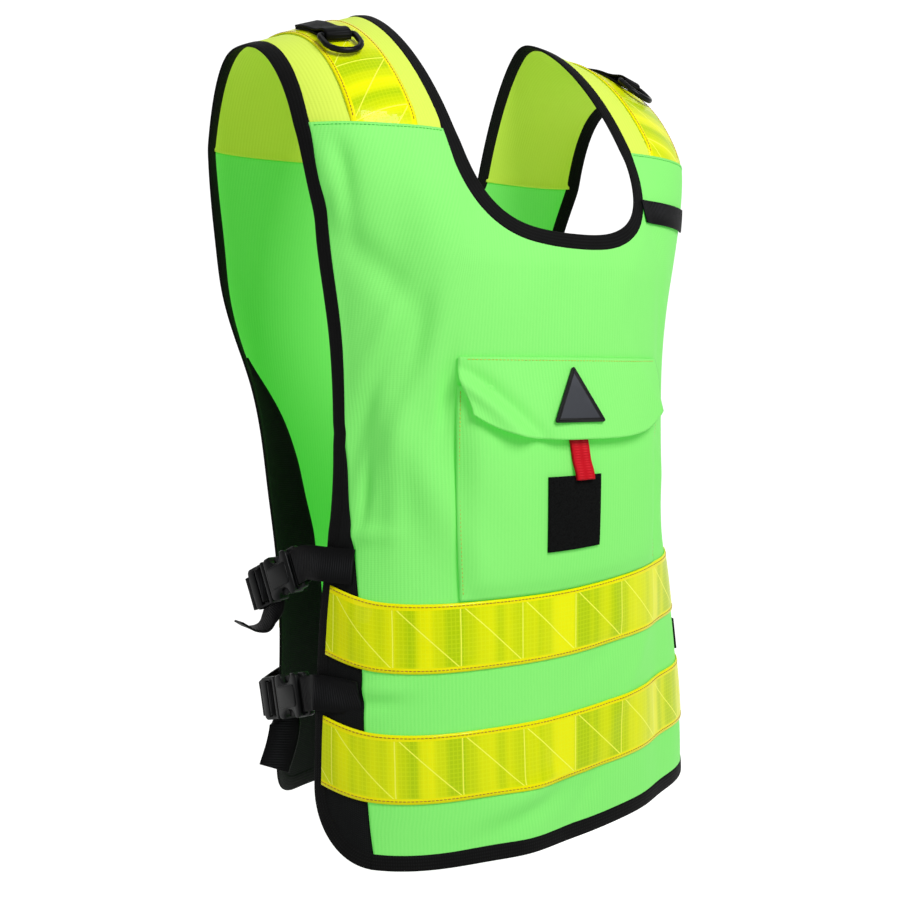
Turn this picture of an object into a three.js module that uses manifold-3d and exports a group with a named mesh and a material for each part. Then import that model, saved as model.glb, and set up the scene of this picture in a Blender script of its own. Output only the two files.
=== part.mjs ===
// A worn training bib: a green front and back with yellow shoulder yokes, black bound edges,
// reflective tapes, a flapped belly pocket, D-rings on the shoulders and buckled straps at the sides.
// Millimetres, +Z up. The wearer faces -Y and has their right side at -X.
// The origin is on the shoulder line, midway between the shoulders, where the bib sits on its wearer.

import * as THREE from "three";
import { mergeVertices } from "three/addons/utils/BufferGeometryUtils.js";
import Module from "manifold-3d";

const wasm = await Module();
wasm.setup();

// Driving dimensions
const CLOTH = 1.2; // thickness of the panels
const TAPE = 1; // thickness of the reflective tape
const WEBBING = 1.6; // thickness of the straps
const GAP = 0.4; // clearance that sewn pieces keep
const HEM = -606; // height of the bottom edge
const SEAM = -89; // height of the seam between panel and yoke
const PANEL_TOP = SEAM - 2 * GAP; // the panels end just below it
const TAPE_WIDTH = 50;
const UPPER_TAPE = -472; // height of each tape's lower edge
const LOWER_TAPE = -566;
const BINDING_WIDTH = 9;
const BINDING_THICKNESS = 2.6;
const EDGE_GAP = 0.55; // between a cloth's edge and its binding
const NECK_HALF = 92; // from the middle to the cloth's edge at the neck
const SHOULDER_HALF = 187; // from the middle to the cloth's edge at the shoulder
const NECK_DROP = { front: 83, back: 22 }; // how far each neckline dips below the yoke seam
const NECK_CORNER = 2.75; // how square the necklines are, as the power of a superellipse
const CORNER_RADIUS = 40; // of the panels' lower corners
const POCKET = { half: 97, mouth: -276, bottom: -421 };
const FLAP = { half: 97, top: -256, drop: 60, sideDrop: 41, standOff: 15 };
const BADGE = { width: 50, height: 44, thickness: 2.4, x: -9, base: -304 };
const PATCH = { x: -9, half: 24, top: -341, bottom: -391, thickness: 1.6 };
const TAB = { width: 16, top: -304, bottom: -344, thickness: 2.8, topX: -9, bottomX: -2 };
const CHEST_STRIP = { inner: 84, outer: 152, top: -131, bottom: -149 };
const D_RING = { x: 146, q: -0.42, bar: 28, reach: 25, section: 4.6, keeper: 20 };
const STRAP_WIDTH = 26;

// The form that the bib is worn on: level sections of the trunk, half a superellipse in front and half
// a superellipse behind, with depths measured from the trunk's axis.
const TRUNK_AXIS_Y = -45;
const ARCH_BASE = -190; // height where the shoulders start to curve over
const SECTIONS = [
  { height: -640, frontWidth: 183, front: 121, frontCorner: 2.6, backWidth: 172, back: 112, backCorner: 2.6 },
  { height: -545, frontWidth: 177, front: 122, frontCorner: 2.6, backWidth: 166, back: 112, backCorner: 2.6 },
  { height: -450, frontWidth: 168, front: 122, frontCorner: 2.5, backWidth: 163, back: 112, backCorner: 2.7 },
  { height: -370, frontWidth: 157, front: 122, frontCorner: 2.3, backWidth: 167, back: 116, backCorner: 3 },
  { height: -280, frontWidth: 157, front: 123, frontCorner: 2.3, backWidth: 172, back: 122, backCorner: 4 },
  { height: -190, frontWidth: 171, front: 125, frontCorner: 2.3, backWidth: 188, back: 126, backCorner: 7 },
  { height: SEAM, frontWidth: 200, front: 125, frontCorner: 2.5, backWidth: 200, back: 126, backCorner: 7 },
];
// The shoulder line falls from the neck to the arm, and its arch is rounder at the arm.
const RIDGE = [
  { out: NECK_HALF, height: 17, roundness: 1.55 },
  { out: SHOULDER_HALF, height: -19, roundness: 2.3 },
];

// Side edges of the cloth, and the seams between the panels and the black side panels,
// as angles in degrees round the trunk from the middle of the front or the back
const EDGE = {
  front: [
    { height: -640, angle: 75.5 },
    { height: -520, angle: 76.5 },
    { height: -430, angle: 77.5 },
    { height: -330, angle: 77 },
    { height: -250, angle: 75.5 },
    { height: -174, angle: 75.5 },
    { height: -130, angle: 74 },
    { height: SEAM, angle: 72.4 },
  ],
  back: [
    { height: -640, angle: 66 },
    { height: -440, angle: 67 },
    { height: -400, angle: 66 },
    { height: -330, angle: 62 },
    { height: -250, angle: 58.5 },
    { height: -170, angle: 56 },
    { height: SEAM, angle: 59.7 },
  ],
};
const SIDE_TOP = { front: -312, back: -255 }; // height where the side panels run out
const SIDE_SEAM = {
  front: [
    { height: -640, angle: 60.5 },
    { height: -580, angle: 63.5 },
    { height: -486, angle: 66 },
    { height: -433, angle: 68 },
    { height: -394, angle: 71 },
    { height: -362, angle: 74 },
    { height: SIDE_TOP.front, angle: 76.3 },
  ],
  back: [
    { height: -640, angle: 41 },
    { height: -486, angle: 41 },
    { height: -420, angle: 42 },
    { height: -373, angle: 44.5 },
    { height: -338, angle: 46 },
    { height: -298, angle: 50 },
    { height: SIDE_TOP.back, angle: 58.3 },
  ],
};

// Folds in the cloth: where each lies round the trunk (degrees) and how high, how long and wide it is,
// how far it tilts from upright and how far it stands out.
const FOLDS = {
  front: [
    { angle: -58, height: -230, length: 110, width: 16, tilt: 4, depth: -4 },
    { angle: -52, height: -345, length: 70, width: 17, tilt: -28, depth: 6 },
    { angle: 46, height: -520, length: 120, width: 24, tilt: 0, depth: -6 },
    { angle: 68, height: -570, length: 90, width: 26, tilt: 0, depth: 3 },
    { angle: 54, height: -350, length: 80, width: 18, tilt: 12, depth: 4 },
    { angle: -20, height: -600, length: 60, width: 30, tilt: 10, depth: 4 },
  ],
  back: [
    { angle: 30, height: -300, length: 120, width: 24, tilt: 12, depth: 4 },
    { angle: -30, height: -300, length: 120, width: 24, tilt: -12, depth: 4 },
    { angle: 0, height: -560, length: 100, width: 30, tilt: 0, depth: 5 },
  ],
};

// The front does not hang level: how far its lower part drops, by the angle in degrees round the trunk
const HANG = [
  { angle: -80, drop: 1 },
  { angle: -62, drop: 12 },
  { angle: -30, drop: 11 },
  { angle: 0, drop: 8 },
  { angle: 35, drop: 0 },
  { angle: 65, drop: -7 },
  { angle: 80, drop: -8 },
];
const HANG_TOP = -300; // the drop grows from here
const HANG_FULL = -410; // to here

// Columns and rows of the facets. Layers share them, so that they stay parallel.
const PANEL_COLUMNS = 8; // from the middle to the side seam
const SIDE_COLUMNS = 4; // across a side panel
const NECK_COLUMNS = 5; // of a panel's columns, those that end at the neckline
const PLAIN_TOP = -330; // columns run straight up to here, then lean towards the neck
const YOKE_COLUMNS = 8;
const YOKE_ROWS = 8;

const { sin, cos, abs, sign, atan2, round, PI } = Math;
const radians = (degrees) => (degrees * PI) / 180;
const mix = (a, b, t) => a + (b - a) * t;
const ease = (t) => {
  const within = Math.min(1, Math.max(0, t));
  return within ** 2 * (3 - 2 * within);
};
const evenly = (from, to, steps) => Array.from({ length: steps + 1 }, (_, i) => mix(from, to, i / steps));
const vector = (x, y, z) => new THREE.Vector3(x, y, z);

const rowsOf = (sideTop, sideSteps, armSteps) => [
  HEM,
  ...evenly(LOWER_TAPE, LOWER_TAPE + TAPE_WIDTH, 2),
  (LOWER_TAPE + TAPE_WIDTH + UPPER_TAPE) / 2,
  ...evenly(UPPER_TAPE, UPPER_TAPE + TAPE_WIDTH, 2),
  ...evenly(UPPER_TAPE + TAPE_WIDTH, sideTop, sideSteps).slice(1),
  ...evenly(sideTop, PANEL_TOP, armSteps).slice(1),
];
const ROWS = { front: rowsOf(SIDE_TOP.front, 2, 5), back: rowsOf(SIDE_TOP.back, 3, 4) };

// A column of a table on a smooth curve through its rows. The key is the column that it runs along.
function between(table, column, at, key = "height") {
  const last = table.length - 1;
  const below = table.findLastIndex((row) => row[key] <= at);
  const i = Math.max(0, Math.min(last - 1, below));
  const slope = (a, b) => (table[b][column] - table[a][column]) / (table[b][key] - table[a][key]);
  const span = table[i + 1][key] - table[i][key];
  const t = (at - table[i][key]) / span;
  const leave = slope(Math.max(0, i - 1), i + 1) * span;
  const arrive = slope(i, Math.min(last, i + 2)) * span;
  const straight = mix(table[i][column], table[i + 1][column], t * t * (3 - 2 * t));
  return straight + leave * t * (1 - t) ** 2 - arrive * t * t * (1 - t);
}

// The worn form. A face is "front" or "back".
const facing = (face) => (face === "front" ? -1 : 1);
function alongRidge(column, x) {
  const [neck, shoulder] = RIDGE;
  const part = Math.max(0, (abs(x) - neck.out) / (shoulder.out - neck.out));
  return mix(neck[column], shoulder[column], part);
}

function sectionAt(face, height) {
  const at = Math.min(height, SEAM);
  return [face + "Width", face, face + "Corner"].map((column) => between(SECTIONS, column, at));
}

// How much of its depth the form keeps where it curves over the shoulder.
function archLean(x, height) {
  const power = alongRidge("roundness", x);
  const rise = (height - ARCH_BASE) / (alongRidge("height", x) - ARCH_BASE);
  return rise > 0 ? (1 - rise ** power) ** (1 / power) : 1;
}

function formPoint(face, angle, height) {
  const [width, depth, corner] = sectionAt(face, height);
  const reach = (abs(sin(angle) / width) ** corner + abs(cos(angle) / depth) ** corner) ** (-1 / corner);
  const x = reach * sin(angle);
  return vector(x, (TRUNK_AXIS_Y + facing(face) * reach * cos(angle)) * archLean(x, height), height);
}

// The angle of the point that lies at x on a section.
function angleAt(face, x, height) {
  const [width, depth, corner] = sectionAt(face, height);
  return atan2(x, depth * (1 - abs(x / width) ** corner) ** (1 / corner));
}

// The way out of a surface that is given by two parameters.
function outward(surface, a, b) {
  const step = 1e-3;
  const along = surface(a + step, b).sub(surface(a - step, b));
  const up = surface(a, b + step).sub(surface(a, b - step));
  return along.cross(up).normalize();
}

function foldAt(face, angle, height) {
  let lift = 0;
  for (const fold of FOLDS[face]) {
    const across = (angle - radians(fold.angle)) * 150;
    const up = height - fold.height;
    const tilt = radians(fold.tilt);
    const along = up * cos(tilt) + across * sin(tilt);
    const aside = across * cos(tilt) - up * sin(tilt);
    lift += fold.depth * Math.exp(-((along / fold.length) ** 2) - (aside / fold.width) ** 2);
  }
  return lift;
}

// A point lifted off the form by the folds and by the layers under it.
function liftedPoint(face, angle, height, lift) {
  const normal = outward((a, h) => formPoint(face, a, h), angle, height).multiplyScalar(-facing(face));
  return formPoint(face, angle, height).addScaledVector(normal, lift + foldAt(face, angle, height));
}

// A point of the cloth, by the height it would have if the cloth hung level.
function clothPoint(face, angle, height, lift) {
  const drop = face === "front" ? between(HANG, "drop", (angle * 180) / PI, "angle") : 0;
  const hung = height - drop * ease((HANG_TOP - height) / (HANG_TOP - HANG_FULL));
  return liftedPoint(face, angle, hung, lift);
}

// Over a shoulder, q runs from -1 at the front seam over the ridge at 0 to 1 at the back seam.
function yokeForm(x, q) {
  const face = q < 0 ? "front" : "back";
  const depth = abs(formPoint(face, angleAt(face, x, SEAM), SEAM).y) / archLean(x, SEAM);
  const rise = alongRidge("height", x) - ARCH_BASE;
  const power = alongRidge("roundness", x);
  const seamTurn = atan2(SEAM - ARCH_BASE, depth * archLean(x, SEAM));
  const turn = mix(PI / 2, seamTurn, abs(q));
  const reach = ((cos(turn) / depth) ** power + (sin(turn) / rise) ** power) ** (-1 / power);
  return vector(x, facing(face) * reach * cos(turn), ARCH_BASE + reach * sin(turn));
}
const yokeNormal = (x, q) => outward(yokeForm, x, q);
const yokePoint = (x, q, lift) => yokeForm(x, q).addScaledVector(yokeNormal(x, q), lift);

// Outlines
const sideEdge = (face, height) => radians(between(EDGE[face], "angle", height));
const panelEdge = (face, height) =>
  height <= SIDE_TOP[face] ? radians(between(SIDE_SEAM[face], "angle", height)) : sideEdge(face, height);
const SEAM_GAP = GAP / 170; // the gap between panel and side panel, as an angle

// Where column k of a panel meets its top edge: along the neckline, then along the yoke's seam.
function topSpot(face, k) {
  const turn = (Math.min(abs(k), NECK_COLUMNS) / NECK_COLUMNS) * (PI / 2);
  const beyond = Math.max(0, abs(k) - NECK_COLUMNS) / (PANEL_COLUMNS - NECK_COLUMNS);
  const x = NECK_HALF * sin(turn) ** (2 / NECK_CORNER) + (SHOULDER_HALF - NECK_HALF) * beyond;
  const drop = abs(k) < NECK_COLUMNS ? NECK_DROP[face] * cos(turn) ** (2 / NECK_CORNER) : 0;
  return { x: sign(k) * x, height: PANEL_TOP - drop };
}

// The angle and height of column k of a panel, in the row that meets the side at the given height.
function panelSpot(face, k, row) {
  const plain = (k / PANEL_COLUMNS) * panelEdge(face, row);
  if (row <= PLAIN_TOP) return [plain, row];
  const top = topSpot(face, k);
  const part = (row - PLAIN_TOP) / (PANEL_TOP - PLAIN_TOP);
  const height = mix(PLAIN_TOP, top.height, part);
  const leaning = angleAt(face, top.x, SEAM) * (panelEdge(face, row) / panelEdge(face, PANEL_TOP));
  return [mix(plain, leaning, ease(part)), height];
}

// Across the whole of a face below the arms: the panel's columns, then those of its side panels.
function wholeAngle(face, k, height) {
  if (abs(k) <= PANEL_COLUMNS) return (k / PANEL_COLUMNS) * panelEdge(face, height);
  const from = panelEdge(face, height) + SEAM_GAP;
  const part = sin(((abs(k) - PANEL_COLUMNS) / SIDE_COLUMNS) * (PI / 2));
  return sign(k) * mix(from, sideEdge(face, height), part);
}

// How far the lower corner's rounding lifts the hem at an angle.
function cornerRise(face, angle, height) {
  const inset = (sideEdge(face, HEM) - abs(angle)) * 175;
  const into = Math.max(0, CORNER_RADIUS - Math.max(0, inset));
  const rise = CORNER_RADIUS - Math.sqrt(CORNER_RADIUS ** 2 - into ** 2);
  return rise * (1 - ease((height - HEM) / (LOWER_TAPE - HEM)));
}

// Solids
const bib = new THREE.Group();
bib.name = "training_bib";
const look = (color, roughness) => new THREE.MeshStandardMaterial({ color, roughness, metalness: 0 });
const GREEN = look("#63ee5f", 0.8);
const YELLOW = look("#dcf840", 0.8);
const BLACK_CLOTH = look("#151617", 0.85);
const BLACK_PLASTIC = look("#1b1c1e", 0.45);
const REFLECTIVE = look("#e3e80d", 0.3);
const RED = look("#d3202c", 0.8);

function signedVolume(geometry) {
  const corner = (i) => vector().fromBufferAttribute(geometry.attributes.position, geometry.index.getX(i));
  let volume = 0;
  for (let i = 0; i < geometry.index.count; i += 3) {
    volume += corner(i).dot(corner(i + 1).cross(corner(i + 2))) / 6;
  }
  return volume;
}

// Adds a closed solid, its faces turned outwards whichever hand it was made for.
function addSolid(name, shape, material) {
  shape.deleteAttribute("uv");
  shape.deleteAttribute("normal");
  const geometry = mergeVertices(shape, 1e-4);
  if (signedVolume(geometry) < 0) geometry.index.array.reverse();
  geometry.computeVertexNormals();
  const mesh = new THREE.Mesh(geometry, material);
  mesh.name = name;
  bib.add(mesh);
}

// A box bent into place: the place is given for fractions along, across and through it.
function bentBox(columns, rows, place) {
  const box = new THREE.BoxGeometry(1, 1, 1, columns, rows, 1);
  const spots = box.attributes.position;
  for (let i = 0; i < spots.count; i++) {
    const spot = place(spots.getX(i) + 0.5, spots.getY(i) + 0.5, spots.getZ(i) + 0.5);
    spots.setXYZ(i, spot.x, spot.y, spot.z);
  }
  turnDiagonals(box, box.groups[5]);
  return box;
}

// Splits one side's squares along their other diagonals, so that it folds like the side across from it.
function turnDiagonals(box, { start, count }) {
  const index = box.index.array;
  for (let i = start; i < start + count; i += 6) {
    const [a, b, d, , c] = index.slice(i, i + 6);
    index.set([a, b, c, a, c, d], i);
  }
}

// A closed band: the place is given for a step round it and for one of its section's four corners.
function bentRing(steps, place) {
  const ring = new THREE.TorusGeometry(2, 1, 4, steps);
  const { position: spots, uv } = ring.attributes;
  for (let i = 0; i < spots.count; i++) {
    const spot = place(round(uv.getX(i) * steps) % steps, round(uv.getY(i) * 4) % 4);
    spots.setXYZ(i, spot.x, spot.y, spot.z);
  }
  return ring;
}

// Panels, side panels and yokes
const onRows = (rows, v) => rows[round(v * (rows.length - 1))];

for (const face of ["front", "back"]) {
  const panel = bentBox(2 * PANEL_COLUMNS, ROWS[face].length - 1, (u, v, w) => {
    const k = round(mix(-PANEL_COLUMNS, PANEL_COLUMNS, u));
    const [angle, height] = panelSpot(face, k, onRows(ROWS[face], v));
    return clothPoint(face, angle, height, w * CLOTH);
  });
  addSolid(`${face}_panel`, panel, GREEN);
}

const HANDS = [
  { hand: -1, side: "right" },
  { hand: 1, side: "left" },
];
const sideRows = (face) => ROWS[face].filter((row) => row <= SIDE_TOP[face]);
const armRows = (face) => ROWS[face].filter((row) => row > SIDE_TOP[face]);
const sideSpot = (face, hand, k, row) => {
  const angle = wholeAngle(face, hand * k, row);
  return [angle, row + cornerRise(face, angle, row)];
};
for (const { hand, side } of HANDS) {
  for (const face of ["front", "back"]) {
    const rows = sideRows(face);
    const panel = bentBox(SIDE_COLUMNS, rows.length - 1, (u, v, w) => {
      const k = PANEL_COLUMNS + Math.max(1e-6, u * SIDE_COLUMNS);
      const [angle, height] = sideSpot(face, hand, k, onRows(rows, v));
      return clothPoint(face, angle, height, w * CLOTH);
    });
    addSolid(`${face}_side_panel_${side}`, panel, BLACK_CLOTH);
  }
  const yoke = bentBox(YOKE_COLUMNS, YOKE_ROWS, (u, v, w) =>
    yokePoint(hand * mix(NECK_HALF, SHOULDER_HALF, u), mix(-1, 1, v), w * CLOTH),
  );
  addSolid(`shoulder_yoke_${side}`, yoke, YELLOW);
}

// Bindings, which carry on from the cloth's edges
const clothStation = (face, [angle, height]) => {
  const point = clothPoint(face, angle, height, CLOTH / 2);
  return { point, normal: clothPoint(face, angle, height, CLOTH / 2 + 1).sub(point) };
};
const yokeStation = (x, q) => ({ point: yokePoint(x, q, CLOTH / 2), normal: yokeNormal(x, q) });

// The place of a binding's corner at a station: off is how far beyond the cloth's edge it is,
// and out how far off the cloth's middle.
function bindingPlace(path, i, closed, turn, off, out) {
  const last = path.length - 1;
  const next = path[closed ? (i + 1) % path.length : Math.min(last, i + 1)].point;
  const before = path[closed ? (i + last) % path.length : Math.max(0, i - 1)].point;
  const { point, normal } = path[i];
  const away = normal.clone().cross(next.clone().sub(before)).normalize().multiplyScalar(turn);
  return point.clone().addScaledVector(away, off).addScaledVector(normal, out);
}
function addBinding(name, path, turn) {
  const strip = bentBox(path.length - 1, 1, (u, v, w) => {
    const station = round(u * (path.length - 1));
    const off = EDGE_GAP + v * BINDING_WIDTH;
    return bindingPlace(path, station, false, turn, off, (w - 0.5) * BINDING_THICKNESS);
  });
  addSolid(name, strip, BLACK_CLOTH);
}

for (const { hand, side } of HANDS) {
  const lane = (face) => [
    ...evenly(0.01, SIDE_COLUMNS, SIDE_COLUMNS).map((j) => [j, HEM]),
    ...sideRows(face).slice(1).map((row) => [SIDE_COLUMNS, row]),
  ].map(([j, row]) => clothStation(face, sideSpot(face, hand, PANEL_COLUMNS + j, row)));
  const armhole = (face) =>
    armRows(face).slice(0, -1).map((row) => clothStation(face, panelSpot(face, hand * PANEL_COLUMNS, row)));
  const shoulder = evenly(-1, 1, YOKE_ROWS).map((q) => yokeStation(hand * SHOULDER_HALF, q));
  const rest = [...lane("back"), ...armhole("back")].reverse();
  addBinding(`edge_binding_${side}`, [...lane("front"), ...armhole("front"), ...shoulder, ...rest], -hand);
}
for (const face of ["front", "back"]) {
  const path = evenly(-PANEL_COLUMNS, PANEL_COLUMNS, 2 * PANEL_COLUMNS).map((k) =>
    clothStation(face, [wholeAngle(face, k, HEM), HEM]),
  );
  addBinding(`${face}_hem_binding`, path, facing(face));
}

const neckline = (face) =>
  evenly(-NECK_COLUMNS, NECK_COLUMNS, 2 * NECK_COLUMNS)
    .slice(1, -1)
    .map((k) => clothStation(face, panelSpot(face, k, PANEL_TOP)));
const neckSide = (hand) => evenly(-1, 1, YOKE_ROWS).map((q) => yokeStation(hand * NECK_HALF, q));
const neckPath = [
  ...neckline("front"),
  ...neckSide(1),
  ...neckline("back").reverse(),
  ...neckSide(-1).reverse(),
];
const neckBinding = bentRing(neckPath.length, (i, corner) => {
  const off = corner === 1 || corner === 2 ? EDGE_GAP + BINDING_WIDTH : EDGE_GAP;
  return bindingPlace(neckPath, i, true, 1, off, (corner > 1 ? 0.5 : -0.5) * BINDING_THICKNESS);
});
addSolid("neck_binding", neckBinding, BLACK_CLOTH);

// Tapes
const ON_CLOTH = CLOTH + GAP; // lift of a layer sewn onto the cloth
const ACROSS = PANEL_COLUMNS + SIDE_COLUMNS;
for (const face of ["front", "back"]) {
  for (const [name, foot] of Object.entries({ upper: UPPER_TAPE, lower: LOWER_TAPE })) {
    const tape = bentBox(2 * ACROSS, 2, (u, v, w) => {
      const height = foot + v * TAPE_WIDTH;
      const angle = wholeAngle(face, round(mix(-ACROSS, ACROSS, u)), height);
      return clothPoint(face, angle, height, ON_CLOTH + w * TAPE);
    });
    addSolid(`${face}_tape_${name}`, tape, REFLECTIVE);
  }
}
const TAPE_COLUMNS = 4; // of the yoke's columns, those that the shoulder tape covers
for (const { hand, side } of HANDS) {
  const tape = bentBox(TAPE_COLUMNS, YOKE_ROWS, (u, v, w) => {
    const across = (YOKE_COLUMNS - TAPE_COLUMNS) / 2 + u * TAPE_COLUMNS;
    const x = hand * mix(NECK_HALF, SHOULDER_HALF, across / YOKE_COLUMNS);
    return yokePoint(x, mix(-1, 1, v), ON_CLOTH + w * TAPE);
  });
  addSolid(`shoulder_tape_${side}`, tape, REFLECTIVE);
}

// The pocket swells off the panel and its flap hangs over the mouth.
const SWELL = [
  { height: POCKET.bottom, lift: 0 },
  { height: -408, lift: 5 },
  { height: -370, lift: 7.5 },
  { height: -320, lift: 7 },
  { height: POCKET.mouth, lift: 2 },
];
const onFront = (x, height, lift) => clothPoint("front", angleAt("front", x, height), height, lift);
const swellAt = (x, height) => between(SWELL, "lift", height) * ease((POCKET.half - abs(x)) / 16) ** 0.7;
const ON_FOLDS = ON_CLOTH + 0.6; // lift of a layer whose facets are not the panel's own
const pocketLift = (x, height) => ON_FOLDS + swellAt(x, height);
const pocket = bentBox(12, 5, (u, v, w) => {
  const x = mix(-POCKET.half, POCKET.half, u);
  const height = mix(POCKET.bottom, POCKET.mouth, v);
  return onFront(x, height, pocketLift(x, height) + w * CLOTH);
});
addSolid("pocket_bag", pocket, GREEN);

const flapDrop = (x) => FLAP.drop - (FLAP.drop - FLAP.sideDrop) * abs(x / FLAP.half) ** 3.5;
const flapLift = (height) => ON_FOLDS + FLAP.standOff * ((FLAP.top - height) / FLAP.drop);
const flap = bentBox(12, 4, (u, v, w) => {
  const x = mix(-FLAP.half, FLAP.half, u);
  const height = FLAP.top - (1 - v) * flapDrop(x);
  const taper = 0.09 * ease((0.7 - v) / 0.7) * abs(u * 2 - 1);
  return onFront(x * (1 - taper), height, flapLift(height) + w * CLOTH);
});
addSolid("pocket_flap", flap, GREEN);

const badgeShape = new THREE.Shape([
  new THREE.Vector2(-BADGE.width / 2 + 2, 0),
  new THREE.Vector2(BADGE.width / 2 - 2, 0),
  new THREE.Vector2(BADGE.width / 2, 2),
  new THREE.Vector2(1.5, BADGE.height),
  new THREE.Vector2(-1.5, BADGE.height),
  new THREE.Vector2(-BADGE.width / 2, 2),
]);
const badge = new THREE.ExtrudeGeometry(badgeShape, {
  depth: BADGE.thickness - 0.6,
  bevelSize: 0.6,
  bevelThickness: 0.6,
  bevelSegments: 1,
  bevelOffset: -0.6,
});
const onFlap = (height) => onFront(BADGE.x, height, flapLift(height) + CLOTH + 0.9);
const badgeFoot = onFlap(BADGE.base);
const sideways = vector(1, 0, 0);
const badgeUp = onFlap(BADGE.base + BADGE.height).sub(badgeFoot).normalize();
const badgeFrame = new THREE.Matrix4().makeBasis(sideways, badgeUp, sideways.clone().cross(badgeUp));
addSolid("flap_badge", badge.applyMatrix4(badgeFrame.setPosition(badgeFoot)), BLACK_PLASTIC);

const patchLift = (x, height) => pocketLift(x, height) + CLOTH + GAP;
const patch = bentBox(4, 4, (u, v, w) => {
  const x = PATCH.x + mix(-PATCH.half, PATCH.half, u);
  const height = mix(PATCH.bottom, PATCH.top, v);
  return onFront(x, height, patchLift(x, height) + w * PATCH.thickness);
});
addSolid("hook_patch", patch, BLACK_CLOTH);

const tab = bentBox(2, 5, (u, v, w) => {
  const x = mix(TAB.bottomX, TAB.topX, v) + (u - 0.5) * TAB.width;
  const height = mix(TAB.bottom, TAB.top, v);
  const lift = patchLift(x, height) + (PATCH.thickness + GAP) * ease((0.35 - v) / 0.25) + 0.3;
  return onFront(x, height, lift + w * TAB.thickness);
});
addSolid("pull_tab", tab, RED);

const strip = bentBox(6, 1, (u, v, w) => {
  const height = mix(CHEST_STRIP.bottom, CHEST_STRIP.top, v);
  return onFront(mix(CHEST_STRIP.inner, CHEST_STRIP.outer, u), height, ON_CLOTH + 0.5 + w * WEBBING);
});
addSolid("chest_strip", strip, BLACK_CLOTH);

// D-rings, each lying on the front slope of its shoulder with its bar in a loop of webbing
const ON_TAPE = ON_CLOTH + TAPE + GAP;
const FRONT_ARC = 150; // length of the yoke from seam to ridge
const BAR_LIFT = ON_TAPE + WEBBING + GAP + D_RING.section / 2;

// The frame of a D-ring's bar: outwards along the bar, forwards down the slope, and off the cloth.
function ringFrame(hand) {
  const x = hand * D_RING.x;
  const normal = yokeNormal(x, D_RING.q);
  const bar = yokeForm(x + hand, D_RING.q).sub(yokeForm(x - hand, D_RING.q)).normalize();
  const forward = bar.clone().cross(normal).multiplyScalar(hand).normalize();
  return new THREE.Matrix4().makeBasis(bar, forward, normal).setPosition(yokePoint(x, D_RING.q, BAR_LIFT));
}

function ringPath() {
  const { bar, reach } = D_RING;
  const curve = reach - bar / 2;
  const outline = new THREE.Path();
  outline.moveTo(-bar / 2 + 3, 0);
  outline.lineTo(bar / 2 - 3, 0);
  outline.quadraticCurveTo(bar / 2, 0, bar / 2, 3);
  outline.lineTo(bar / 2, curve);
  outline.absarc(0, curve, bar / 2, 0, PI, false);
  outline.lineTo(-bar / 2, 3);
  outline.quadraticCurveTo(-bar / 2, 0, -bar / 2 + 3, 0);
  const dip = (y) => -1.6 * ease(y / reach);
  return new THREE.CatmullRomCurve3(
    outline.getSpacedPoints(28).slice(0, -1).map(({ x, y }) => vector(x, y, dip(y))),
    true,
  );
}

// A strip of webbing along stations, each with a point and the way across the strip there.
function ribbon(stations, width, thickness, steps) {
  const middle = new THREE.CatmullRomCurve3(stations.map(({ point }) => point));
  const sideways = new THREE.CatmullRomCurve3(stations.map(({ across }) => across));
  return bentBox(steps, 1, (u, v, w) => {
    const along = middle.getTangent(u);
    const through = along.clone().cross(sideways.getPoint(u)).normalize();
    const across = through.clone().cross(along).normalize();
    const edge = middle.getPoint(u).addScaledVector(across, (v - 0.5) * width);
    return edge.addScaledVector(through, (w - 0.5) * thickness);
  });
}

for (const { hand, side } of HANDS) {
  const ring = new THREE.TubeGeometry(ringPath(), 22, D_RING.section / 2, 5, true);
  addSolid(`d_ring_${side}`, ring.applyMatrix4(ringFrame(hand)), BLACK_PLASTIC);

  const x = hand * D_RING.x;
  const low = ON_TAPE + WEBBING / 2;
  const high = BAR_LIFT + D_RING.section / 2 + GAP + WEBBING / 2;
  const flat = low + WEBBING + 2 * GAP;
  const loop = [
    [-42, low], [-29, low], [-17, low], [-8, low], [-1, low], [3.1, low + 1.2],
    [(high - low) / 2, BAR_LIFT], [3.1, high - 1.2], [-0.5, high],
    [-5, high - 0.8], [-11, flat + 1.4], [-17, flat], [-29, flat], [-42, flat],
  ];
  const stations = loop.map(([along, lift]) => {
    const q = D_RING.q - along / FRONT_ARC;
    const across = yokeForm(x + 1, q).sub(yokeForm(x - 1, q)).normalize();
    return { point: yokePoint(x, q, lift), across };
  });
  addSolid(`d_ring_keeper_${side}`, ribbon(stations, D_RING.keeper, WEBBING, 26), BLACK_CLOTH);
}

// Buckles, in their own frame: x back from the socket's end along the strap, y up across it and z out.
const BUCKLE = { half: 17, thickness: 11, frame: 2.2, bar: 3.6, slot: 4.6, body: 9, mouth: 38, end: 63 };
const block = (x0, x1, y0, y1, z0, z1) => {
  const box = new THREE.BoxGeometry(x1 - x0, y1 - y0, z1 - z0);
  return manifoldOf(box.translate((x0 + x1) / 2, (y0 + y1) / 2, (z0 + z1) / 2));
};
function manifoldOf(shape) {
  shape.deleteAttribute("uv");
  shape.deleteAttribute("normal");
  const { index, attributes } = mergeVertices(shape, 1e-4);
  const vertProperties = attributes.position.array;
  const triVerts = Uint32Array.from(index.array);
  return new wasm.Manifold(new wasm.Mesh({ numProp: 3, vertProperties, triVerts }));
}
function geometryOf(manifold) {
  const mesh = manifold.getMesh();
  const geometry = new THREE.BufferGeometry();
  geometry.setAttribute("position", new THREE.BufferAttribute(Float32Array.from(mesh.vertProperties), 3));
  return geometry.setIndex(Array.from(mesh.triVerts));
}
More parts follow.
